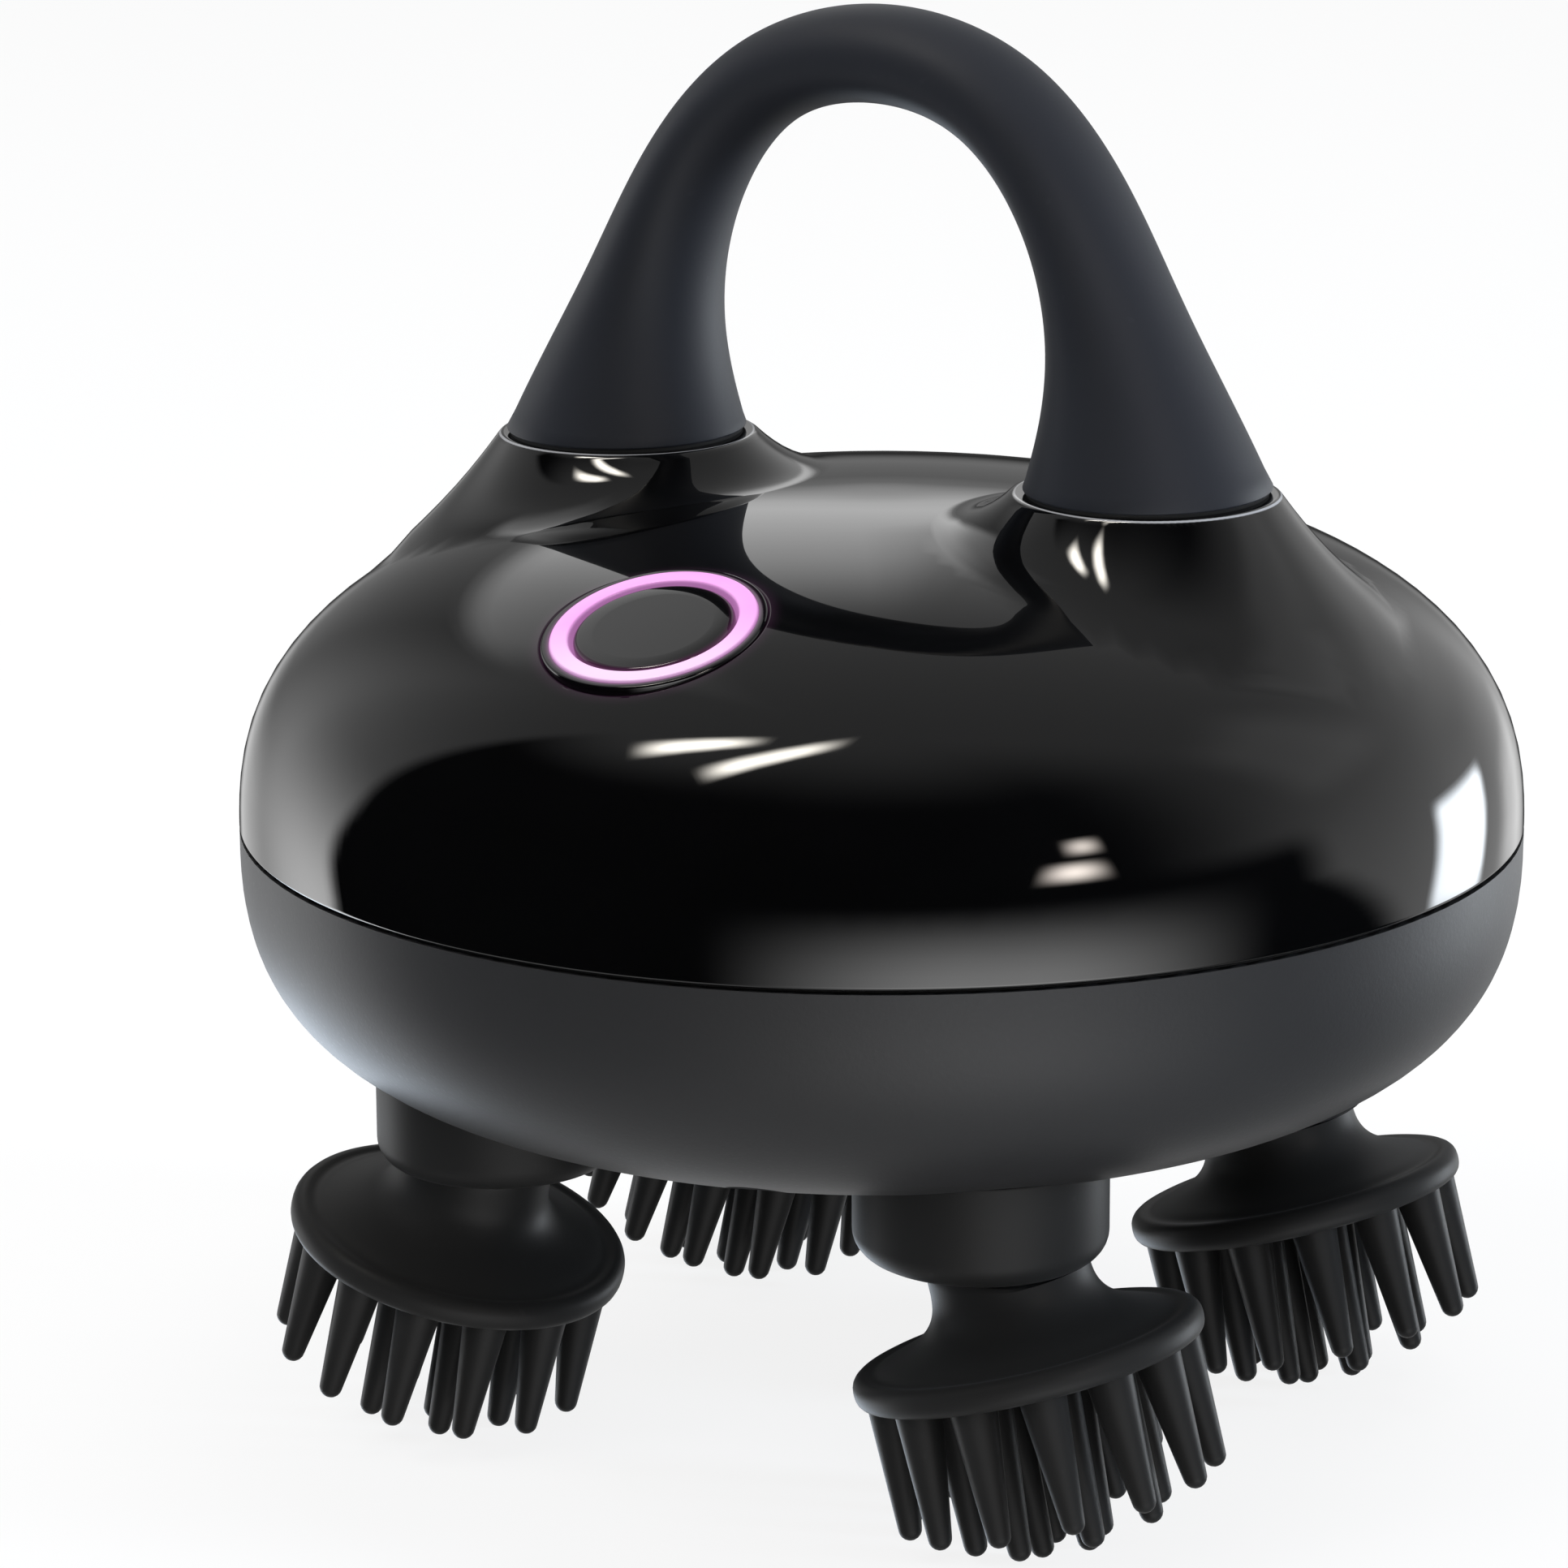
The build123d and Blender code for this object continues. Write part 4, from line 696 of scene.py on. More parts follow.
class Tree(Graph):
    """A Geometry Nodes tree with named inputs."""

    def __init__(self, name: str, inputs: dict[str, str]) -> None:
        """Makes the tree.

        Args:
            name: The tree's name.
            inputs: Socket type of each named input.
        """
        group = bpy.data.node_groups.new(name, "GeometryNodeTree")
        group.is_modifier = True
        super().__init__(group)
        group.interface.new_socket("Geometry", in_out="INPUT", socket_type="NodeSocketGeometry")
        for label, kind in inputs.items():
            group.interface.new_socket(label, in_out="INPUT", socket_type=kind)
        group.interface.new_socket("Geometry", in_out="OUTPUT", socket_type="NodeSocketGeometry")
        self.entry = self.node("NodeGroupInput")

    def given(self, label: str) -> Signal:
        """One of the named inputs."""
        return Signal(self, self.entry.outputs[label])

    def point(self, **parts: Signal) -> Signal:
        """Vector of the parts given as x, y or z; the others are nought."""
        inputs = {"XYZ".index(part.upper()): value for part, value in parts.items()}
        return self.signal("ShaderNodeCombineXYZ", inputs=inputs)

    def copies(self, points: Signal, original: Signal, turn: Signal | None = None) -> Signal:
        """Copies of a geometry on every point, turned by angles about x, y and z."""
        inputs = {"Points": points, "Instance": original}
        if turn is not None:
            inputs["Rotation"] = turn
        return self.signal("GeometryNodeInstanceOnPoints", inputs=inputs)

    def finish_with(self, geometry: Signal) -> None:
        """Realizes the instances, gives them their material and ends the tree."""
        real = self.signal("GeometryNodeRealizeInstances", inputs={0: geometry})
        inputs = {"Geometry": real, "Material": self.given("Material")}
        dressed = self.signal("GeometryNodeSetMaterial", inputs=inputs)
        self.node("NodeGroupOutput", inputs={0: dressed})

    def run(self, host: bpy.types.Object, values: dict[str, Any]) -> bpy.types.Mesh:
        """Runs the tree on an object.

        Args:
            host: The object whose mesh goes in; it is used up.
            values: Value of each named input.

        Returns:
            The plain mesh that comes out.
        """
        modifier = host.modifiers.new(self.tree.name, "NODES")
        modifier.node_group = self.tree
        for item in self.tree.interface.items_tree:
            if item.item_type == "SOCKET" and item.in_out == "INPUT" and item.name in values:
                modifier[item.identifier] = values[item.name]
        return baked(host)


RINGS = ("Outer", "Middle", "Inner")
UNIT_SHANK = 0.01  # length of the finger that is copied, in metres, under its round tip
SCREW_SIZES = ("Head Radius", "Head Height", "Shank Radius", "Length", "Recess Radius")


@lru_cache(maxsize=None)
def finger_tree() -> Tree:
    """Tree that stands copies of one finger of unit length on every ring."""
    inputs = {"Material": "NodeSocketMaterial"}
    for ring in RINGS:
        inputs |= {f"{ring} Count": "NodeSocketInt"}
        inputs |= {f"{ring} {size}": "NodeSocketFloat" for size in ("Radius", "Lean", "First", "Length")}
    tree = Tree("rings_of_fingers", inputs)
    index = tree.signal("GeometryNodeInputIndex")
    stands = []
    for ring in RINGS:
        turn = index * (2 * math.pi) / tree.given(f"{ring} Count") + tree.given(f"{ring} First")
        radius = tree.given(f"{ring} Radius")
        at = tree.point(x=radius * turn.math("COSINE"), y=radius * turn.math("SINE"))
        aim = tree.point(y=tree.given(f"{ring} Lean"), z=turn)
        inputs = {"Count": tree.given(f"{ring} Count"), "Position": at}
        points = tree.signal("GeometryNodePoints", inputs=inputs)
        # the shank is stretched to the ring's length, and the round tip above it rides on its end
        stretch = tree.given(f"{ring} Length")
        height = tree.parts(tree.signal("GeometryNodeInputPosition"))[2]
        shift = tree.point(z=height.least(UNIT_SHANK) * (stretch / UNIT_SHANK - 1))
        inputs = {"Geometry": tree.given("Geometry"), "Offset": shift}
        finger = tree.signal("GeometryNodeSetPosition", inputs=inputs)
        stands.append(tree.copies(points, finger, aim))
    join = tree.node("GeometryNodeJoinGeometry")
    tree.gather(stands, join.inputs[0])
    tree.finish_with(Signal(tree, join.outputs[0]))
    return tree


@lru_cache(maxsize=None)
def screw_tree() -> Tree:
    """Tree that stands a socket screw, head down, on every point of the object it is given."""
    inputs = {"Material": "NodeSocketMaterial"} | {size: "NodeSocketFloat" for size in SCREW_SIZES}
    tree = Tree("socket_screws", inputs)
    radius, height, shank, length, recess = (tree.given(size) for size in SCREW_SIZES)

    def barrel(vertices: int, r: Signal, depth: Signal, lift: Signal) -> Signal:
        """Cylinder of a radius and depth, lifted by its middle."""
        sizes = {"Vertices": vertices, "Radius": r, "Depth": depth}
        made = tree.signal("GeometryNodeMeshCylinder", inputs=sizes)
        lifted = {"Geometry": made, "Translation": tree.point(z=lift)}
        return tree.signal("GeometryNodeTransform", inputs=lifted)

    body = tree.node("GeometryNodeMeshBoolean", {"operation": "UNION", "solver": "EXACT"})
    # the head, a narrower and taller disc that crowns it, and the shank, sunk a little in the head
    narrower, taller, sink = 0.93, 1.1, 0.0001
    barrels = (
        barrel(32, radius, height, height * -0.5),
        barrel(32, radius * narrower, height * taller, height * (taller * -0.5)),
        barrel(24, shank, length, length * 0.5 - sink),
    )
    tree.gather(barrels, body.inputs[1])
    cut = tree.node(
        "GeometryNodeMeshBoolean",
        {"operation": "DIFFERENCE", "solver": "EXACT"},
        {0: Signal(tree, body.outputs[0]), 1: barrel(6, recess, height * 1.4, height * -1.2)},
    )
    tree.finish_with(tree.copies(tree.given("Geometry"), Signal(tree, cut.outputs[0])))
    return tree


# ==================================================================== shell skins


@dataclass(frozen=True)
class Oval:
    """Quarter outline of a round shell, a superellipse between its pole and its widest radius.

    Attributes:
        radius: Widest radius.
        depth: Height of the pole over the widest radius.
        across: Power across.
        along: Power along the axis.
    """

    radius: float
    depth: float
    across: float
    along: float

    def point(self, angle: np.ndarray, inset: float = 0.0) -> tuple[np.ndarray, np.ndarray]:
        """Radius and height where a ray at an angle from the axis meets the outline."""
        x, y = np.sin(angle) / (self.radius - inset), np.abs(np.cos(angle)) / (self.depth - inset)
        low, high = np.zeros_like(x), np.full_like(x, 2 * self.radius)
        for _ in range(44):
            middle = (low + high) / 2
            inside = (middle * x) ** self.across + (middle * y) ** self.along < 1
            low, high = np.where(inside, middle, low), np.where(inside, high, middle)
        return low * np.sin(angle), low * np.cos(angle)

    def height(self, radius: np.ndarray) -> np.ndarray:
        """Height of the outline's point at a radius."""
        share = np.clip(radius / self.radius, 0, 1)
        return self.depth * (1 - share**self.across) ** (1 / self.along)

    def angle(self, radius: np.ndarray) -> np.ndarray:
        """Angle from the axis of the outline's point at a radius."""
        return np.arctan2(radius, self.height(radius))


class Net:
    """Triangles over a round skin, drawn flat: angle from the pole becomes distance."""

    def __init__(self, oval: Oval, edge: float) -> None:
        """Starts a net for an outline, cut off at an angle from the pole."""
        self.oval = oval
        self.scale = oval.radius / edge
        self.flat: list[np.ndarray] = []
        self.loops: dict[str, tuple[int, int]] = {}
        self.total = 0

    def lay(self, places: np.ndarray, name: str = "") -> None:
        """Lays points given by their x and y on the skin; a name keeps them as a loop."""
        radius = np.hypot(places[:, 0], places[:, 1])
        reach = self.oval.angle(radius) * self.scale
        self.put(places / np.maximum(radius, 1e-9)[:, None] * reach[:, None], name)

    def put(self, flat: np.ndarray, name: str = "") -> None:
        """Lays points given in the flat drawing."""
        if name:
            self.loops[name] = (self.total, len(flat))
        self.flat.append(flat)
        self.total += len(flat)

    def fill(self, pitch: float, keep: Callable[[np.ndarray, np.ndarray], np.ndarray]) -> None:
        """Fills the rest with points a pitch apart, where keep(flat, places) is true."""
        count = int(self.oval.radius / pitch) + 2
        row = np.arange(-count, count + 1)
        x, y = np.meshgrid(row * pitch, row * pitch * math.sqrt(0.75))
        x = x + (np.arange(len(row)) % 2)[:, None] * pitch / 2
        flat = np.stack([x.ravel(), y.ravel()], 1)
        flat = flat[np.hypot(flat[:, 0], flat[:, 1]) < self.oval.radius - pitch]
        self.put(flat[keep(flat, self.spot(flat))])

    def spot(self, flat: np.ndarray, inset: float = 0.0) -> np.ndarray:
        """x, y and height of flat points on the bare outline."""
        reach = np.hypot(flat[:, 0], flat[:, 1])
        radius, height = self.oval.point(reach / self.scale, inset)
        unit = flat / np.maximum(reach, 1e-9)[:, None]
        return np.stack([unit[:, 0] * radius, unit[:, 1] * radius, height], 1)

    def triangles(self, holes: Sequence[str]) -> tuple[np.ndarray, np.ndarray]:
        """Flat points and the triangles between them, less those inside the named holes."""
        flat = np.concatenate(self.flat)
        edges = []
        for start, count in self.loops.values():
            edges += [(start + i, start + (i + 1) % count) for i in range(count)]
        result = delaunay_2d_cdt([Vector(p) for p in flat.tolist()], edges, [], 0, 1e-6)
        places, faces, origin = result[0], result[2], result[3]
        back = {new: old[0] for new, old in enumerate(origin) if old}
        if len(back) != len(places):
            raise RuntimeError("the net's points cross")
        faces = np.array([[back[i] for i in face] for face in faces])
        middle = flat[faces].mean(1)
        keep = np.ones(len(faces), bool)
        for name in holes:
            start, count = self.loops[name]
            keep &= ~inside(middle, flat[start : start + count])
        return flat, faces[keep]


def inside(points: np.ndarray, loop: np.ndarray) -> np.ndarray:
    """Which points lie inside a closed flat loop."""
    hit = np.zeros(len(points), bool)
    for (x1, y1), (x2, y2) in zip(loop, np.roll(loop, -1, 0)):
        span = (y1 > points[:, 1]) != (y2 > points[:, 1])
        run = (x2 - x1) * (points[:, 1] - y1) / (y2 - y1 if y2 != y1 else 1e-12) + x1
        hit ^= span & (points[:, 0] < run)
    return hit


@dataclass(frozen=True)
class ButtonFrame:
    """Where the power button stands: its plane touches the dome.

    Attributes:
        forward: Distance of the button from the body's axis.
        height: Height of the dome there.
        lean: Lean of the button's axis towards the front, in degrees.
    """

    forward: float = 34.0
    height: float = 22.5535
    lean: float = 18.917

    def axis(self) -> Vector:
        """Direction out of the button."""
        turn = math.radians(self.lean)
        return Vector((0.0, -math.sin(turn), math.cos(turn)))

    def centre(self) -> Vector:
        """Centre of the button on the dome, in the model's frame."""
        return Vector((0.0, -self.forward, SEAM_Z + self.height))

    def place(self) -> Matrix:
        """Matrix of the button's plane."""
        z = self.axis()
        x = Vector((1.0, 0.0, 0.0))
        turned = Matrix((x, z.cross(x), z)).transposed()
        return Matrix.Translation(self.centre()) @ turned.to_4x4()


BUTTON = ButtonFrame()
BUTTON_AT = tuple(c * MM for c in BUTTON.centre())
BUTTON_AXIS = tuple(BUTTON.axis())


class Finishes(Enum):
    """The finishes of this object."""

    # the colour after the roughness of a polished finish is the ring's light painted on it as a glow, and
    # the pair after that is where the painted glow starts and ends
    PIANO_BLACK = PolishedPlastic(
        "piano_black", "shell_gloss", (0.0012, 0.0012, 0.0013), 0.02, (0.02, 0.008, 0.018)
    )
    KEY_BLACK = PolishedPlastic(
        "key_black", "shell_gloss", (0.0012, 0.0012, 0.0013), 0.02, (0.16, 0.05, 0.13), (0.0067, 0.0056)
    )
    BEZEL_BLACK = PolishedPlastic(
        "bezel_black", "shell_gloss", (0.0016, 0.0014, 0.0017), 0.05, (0.2, 0.1, 0.19), (0.0081, 0.0088)
    )
    CHARCOAL = GrainedPlastic(
        "charcoal_moulding", "shell_matte", (0.0195, 0.0195, 0.0202), 0.46, shine=0.21
    )
    SLATE_GRIP = SoftSkin("slate_grip", "grip", (0.0135, 0.015, 0.0195), 0.56, 0.02, 0.26)
    BLACK_SILICONE = SoftSkin("black_silicone", "silicone", (0.0148, 0.0145, 0.0141), 0.47, 0.02, 0.1)
    SEAL_RUBBER = SoftSkin("seal_rubber", "seal_rubber", (0.005, 0.005, 0.005), 0.6, 0.05)
    PINK_GUIDE = LitGuide("pink_light_guide", "light_guide", (0.95, 0.4, 0.9), 0.3)
    FILLED_NYLON = GrainedPlastic("filled_nylon", "hard_core", (0.05, 0.05, 0.055), 0.55)
    GREY_NYLON = GrainedPlastic("grey_nylon", "gearbox_plastic", (0.1, 0.1, 0.11), 0.5)
    ACETAL = GrainedPlastic("natural_acetal", "gear_nylon", (0.74, 0.72, 0.66), 0.42, 1800, 0.00001)
    STEEL = Metal("ground_steel", "steel", (0.56, 0.56, 0.57), 0.28)
    NICKEL = Metal("nickel_plate", "motor_steel", (0.5, 0.49, 0.46), 0.22, 0.3)
    BRONZE = Metal("sintered_bronze", "bronze", (0.6, 0.4, 0.2), 0.42, 1.0)
    BOARD = Laminate("solder_mask", "circuit_board", (0.012, 0.12, 0.04), 0.35)
    COMPONENT = GrainedPlastic("component_epoxy", "component", (0.02, 0.02, 0.022), 0.38)
    EMITTER = Finish("emitter_resin", "led", (0.85, 0.82, 0.6), 0.3)
    CELL_SLEEVE = Sleeve("cell_sleeve", "battery_wrap", (0.03, 0.12, 0.38), 0.34)
    RED_LEAD = Sleeve("red_lead", "lead_red", (0.4, 0.015, 0.015), 0.4)


# ==================================================================== upper shell


@dataclass
class UpperShell:
    """The glossy shell: a dome, two shoulders that carry the handle, and the button's hole.

    Attributes:
        dome: Outline of the bare dome.
        wall: Thickness of the wall.
        shoulder_x: Distance of each shoulder's axis from the body's.
        shoulder_top: Height of each shoulder.
        shoulder_flat: Radius where its slope starts.
        shoulder_slope: Its fall over its run.
        shoulder_blend: Height over which it blends into the dome.
        shoulder_reach: Radius past which it falls away faster.
        shoulder_fall: How fast.
        seat: Height of the flat seats under the handle.
        seat_wall: Thickness under a seat.
        seat_edge: Rounding of a seat's rim.
        seam_edge: Gap between the wall's foot and the seam.
        hole: Radius of the button's hole.
        hole_edge: Rounding of its rim.
        pitch: Distance between the points of the skin.
        rim_points: Points round the rim.
        ring_points: Points round a seat or the hole.
        clear: How far the evenly spread points keep from a seat's axis, the button's and the rim.
        skin_foot: Height above the seam where the skin passes into the wall's straight foot.
        foot_edge: (inset, height) points of the foot's rounded lower edge.
        rim_rings: How far inside the rim its rings of points lie.
        seat_rings: Radii of the rings of points round each seat, closest at its rim.
        hole_rings: Radii of the rings of points round the hole.
    """

    dome: Oval = Oval(52.6, 26.7, 2.468, 2.468)
    wall: float = 2.2
    shoulder_x: float = 24.6
    shoulder_top: float = 30.65
    shoulder_flat: float = 9.5
    shoulder_slope: float = 1.35
    shoulder_blend: float = 6.0
    shoulder_reach: float = 18.0
    shoulder_fall: float = 0.35
    seat: float = 29.3
    seat_wall: float = 2.5
    seat_edge: float = 0.3
    seam_edge: float = 0.15
    hole: float = 8.95
    hole_edge: float = 0.2
    pitch: float = 1.45
    rim_points: int = 360
    ring_points: int = 132
    clear: tuple[float, float, float] = (18.0, 12.5, 2.9)
    skin_foot: float = 0.45
    foot_edge: tuple[tuple[float, float], ...] = ((0.0, 0.22), (0.03, 0.1), (0.1, 0.03), (0.22, 0.0))
    rim_rings: tuple[float, ...] = (0.5, 1.3, 2.3)
    seat_rings: tuple[float, ...] = (
        2, 4.5, 7, 9, 9.9, 10.2, 10.32, 10.4, 10.46, 10.52, 10.6, 10.72, 10.95, 11.3, 11.8, 12.5,
        13.4, 14.5, 15.8, 17.2,
    )
    hole_rings: tuple[float, ...] = (9.4, 9.9, 10.7, 11.7)
    net: Net = field(init=False)

    def __post_init__(self) -> None:
        """Sets up the net that the skin is drawn over, down to just above the seam."""
        widest = float(self.dome.angle(np.array([self.dome.radius]))[0])
        self.net = Net(self.dome, widest - self.skin_foot / self.dome.radius)

    def lift(self, places: np.ndarray, inset: float, drop: float) -> np.ndarray:
        """Raises points of the bare dome to the dome with its shoulders and seats."""
        x, y, height = places.T
        away = np.hypot(np.abs(x) - self.shoulder_x, y)
        slope = self.shoulder_slope
        flat = self.shoulder_flat - inset * (math.hypot(1, slope) - 1) / slope
        fall = self.shoulder_fall * np.maximum(away - self.shoulder_reach, 0) ** 2
        cone = self.shoulder_top - inset - drop - slope * np.maximum(away - flat, 0) - fall
        gap = np.maximum(self.shoulder_blend - np.abs(height - cone), 0)
        full = np.maximum(height, cone) + gap**2 / (4 * self.shoulder_blend)
        seat = self.seat - inset - drop
        trim = np.maximum(self.seat_edge - np.abs(full - seat), 0)
        full = np.minimum(full, seat) - trim**2 / (4 * self.seat_edge)
        return np.stack([x, y, full + SEAM_Z], 1)

    def skin(self, flat: np.ndarray, inset: float = 0.0, drop: float = 0.0) -> np.ndarray:
        """Points of the outer or an inner skin."""
        return self.lift(self.net.spot(flat, inset), inset, drop)

    def normals(self, flat: np.ndarray) -> np.ndarray:
        """Outward normals of the outer skin."""
        step = 1e-3
        across = self.skin(flat + [step, 0]) - self.skin(flat - [step, 0])
        along = self.skin(flat + [0, step]) - self.skin(flat - [0, step])
        normal = np.cross(across, along)
        return normal / np.linalg.norm(normal, axis=1)[:, None]

    def round_button(self, radius: float) -> np.ndarray:
        """x and y of a circle round the button's axis, where it meets the dome."""
        points = circle_at(BUTTON.place(), radius, 0.0, self.ring_points)
        axis = np.array(BUTTON.axis())
        for _ in range(30):
            height = self.dome.height(np.hypot(points[:, 0], points[:, 1]))
            bare = np.stack([points[:, 0], points[:, 1], height], 1)
            points = points + (self.lift(bare, 0, 0)[:, 2] - points[:, 2])[:, None] * axis
        return points[:, :2]

    def from_button(self, places: np.ndarray) -> np.ndarray:
        """Distance of points of the skin from the button's axis."""
        full = self.lift(places, 0, 0)
        offset = full - np.array(BUTTON.centre())
        return np.linalg.norm(np.cross(offset, np.array(BUTTON.axis())), axis=1)

    def plan(self) -> tuple[np.ndarray, np.ndarray]:
        """Flat points and triangles of the skin."""
        circle = unit_circle(self.rim_points)
        self.net.put(circle * self.dome.radius, "rim")
        for back in self.rim_rings:
            self.net.put(circle * (self.dome.radius - back))
        circle = unit_circle(self.ring_points)
        for side in (-1, 1):
            for reach in self.seat_rings:
                # the innermost rings need only every fourth point
                thin = circle if reach > 5 else circle[::4]
                self.net.lay(thin * reach + [side * self.shoulder_x, 0])
            self.net.lay(np.array([[side * self.shoulder_x, 0.0]]))
        self.net.lay(self.round_button(self.hole + self.hole_edge), "hole")
        for reach in self.hole_rings:
            self.net.lay(self.round_button(reach))

        def apart(flat: np.ndarray, places: np.ndarray) -> np.ndarray:
            """Leaves room round the finer rings."""
            away = np.hypot(np.abs(places[:, 0]) - self.shoulder_x, places[:, 1])
            seat, hole, rim = self.clear
            within = np.hypot(flat[:, 0], flat[:, 1]) <= self.dome.radius - rim
            return (away > seat) & (self.from_button(places) > hole) & within

        self.net.fill(self.pitch, apart)
        return self.net.triangles(["hole"])

    def build(self) -> bpy.types.Object:
        """Makes the shell as a closed wall with exact normals on its skin."""
        flat, faces = self.plan()
        blank = Blank()
        outer = self.skin(flat)
        inner = self.skin(flat, self.wall, self.seat_wall)
        inner[:, 2] = np.maximum(inner[:, 2], SEAM_Z + self.seam_edge)
        first = blank.row(outer)[0]
        second = blank.row(inner)[0]
        blank.faces += [tuple(int(i) + first for i in face) for face in faces]
        blank.faces += [tuple(int(i) + second for i in face[::-1]) for face in faces]

        start, count = self.net.loops["rim"]
        rim = outer[start : start + count]
        unit = rim[:, :2] / np.linalg.norm(rim[:, :2], axis=1)[:, None]
        low, rows = SEAM_Z + self.seam_edge, [list(range(start, start + count))]
        for inset, height in (*self.foot_edge, (self.wall, 0.0)):
            ring = np.column_stack([unit * (self.dome.radius - inset), np.full(count, low + height)])
            rows.append(blank.row(ring))
        rows.append(list(range(second + start, second + start + count)))
        blank.bridges(rows, inward=True)

        start, count = self.net.loops["hole"]
        lip, axis = outer[start : start + count], np.array(BUTTON.axis())
        radial = lip - np.array(BUTTON.centre())
        radial -= (radial @ axis)[:, None] * axis
        radial /= np.linalg.norm(radial, axis=1)[:, None]
        rows = [list(range(start, start + count))]
        for quarter in (0.33, 0.66, 1.0):
            turn = quarter * math.pi / 2
            sink = self.hole_edge * (1 - math.cos(turn))
            rows.append(blank.row(lip - radial * self.hole_edge * math.sin(turn) - axis * sink))
        rows.append(blank.row(lip - radial * self.hole_edge - axis * (self.wall - 0.1)))
        rows.append(list(range(second + start, second + start + count)))
        blank.bridges(rows)

        mesh = blank.mesh("upper_skin")
        self.exact(mesh, outer, self.normals(flat))
        return piece("upper_skin", mesh, Finishes.PIANO_BLACK.value)

    def exact(self, mesh: bpy.types.Mesh, places: np.ndarray, normals: np.ndarray) -> None:
        """Gives the corners on the outer skin the skin's own normals."""
        known = {tuple(np.round(p, 3)): n for p, n in zip(places, normals)}
        found = [known.get(tuple(spot)) for spot in np.round(places_of(mesh), 3)]
        refine(mesh, found, lambda face: all(found[index] is not None for index in face.vertices))


# ==================================================================== lower shell


@dataclass
class LowerShell:
    """The matt bowl, which keeps the solid's shape and gets the true normals of its turned skin.

    Attributes:
        bowl: Outline of the turned skin.
        band: Height of the straight band under the seam.
        reach: How far from the turned skin a vertex may lie.
        likeness: Least cosine between a face and the true normals that it takes.
    """

    bowl: Oval = Oval(52.6, 22.3, 4.31, 2.62)
    band: float = 0.6
    reach: float = 0.06
    likeness: float = 0.9

    def build(self) -> bpy.types.Object:
        """Copies the solid's mesh and smooths it."""
        mesh = merged_copy("lower_shell", "lower_skin")
        spots, bowl = places_of(mesh), self.bowl
        radius = np.hypot(spots[:, 0], spots[:, 1])
        depth = np.maximum(SEAM_Z - self.band - spots[:, 2], 0)
        share = (radius / bowl.radius) ** bowl.across + (depth / bowl.depth) ** bowl.along
        unit = spots[:, :2] / np.maximum(radius, 1e-9)[:, None]
        slope_r = bowl.across * radius ** (bowl.across - 1) / bowl.radius**bowl.across
        slope_z = bowl.along * depth ** (bowl.along - 1) / bowl.depth**bowl.along
        normal = np.column_stack([unit * slope_r[:, None], -slope_z])
        length = np.linalg.norm(normal, axis=1)
        normal /= np.maximum(length, 1e-12)[:, None]
        near = (np.abs(share - 1) / np.maximum(length, 1e-12) < self.reach) & (spots[:, 2] < SEAM_Z)

        def trusted(face: bpy.types.MeshPolygon) -> bool:
            """Whether a face is one of the turned skin."""
            corners = list(face.vertices)
            along = np.array(face.normal) @ normal[corners].T
            return bool(near[corners].all() and along.min() > self.likeness)

        refine(mesh, normal, trusted)
        return piece("lower_skin", mesh, Finishes.CHARCOAL.value)


def merged_copy(node: str, name: str) -> bpy.types.Mesh:
    """Copy of a CAD node's mesh with its doubles merged and smooth shading."""
    mesh = frame["nodes"][node].data.copy()
    mesh.name = name
    tidy(mesh, sharp=30.0, merge=2e-6)
    return mesh


# ==================================================================== handle


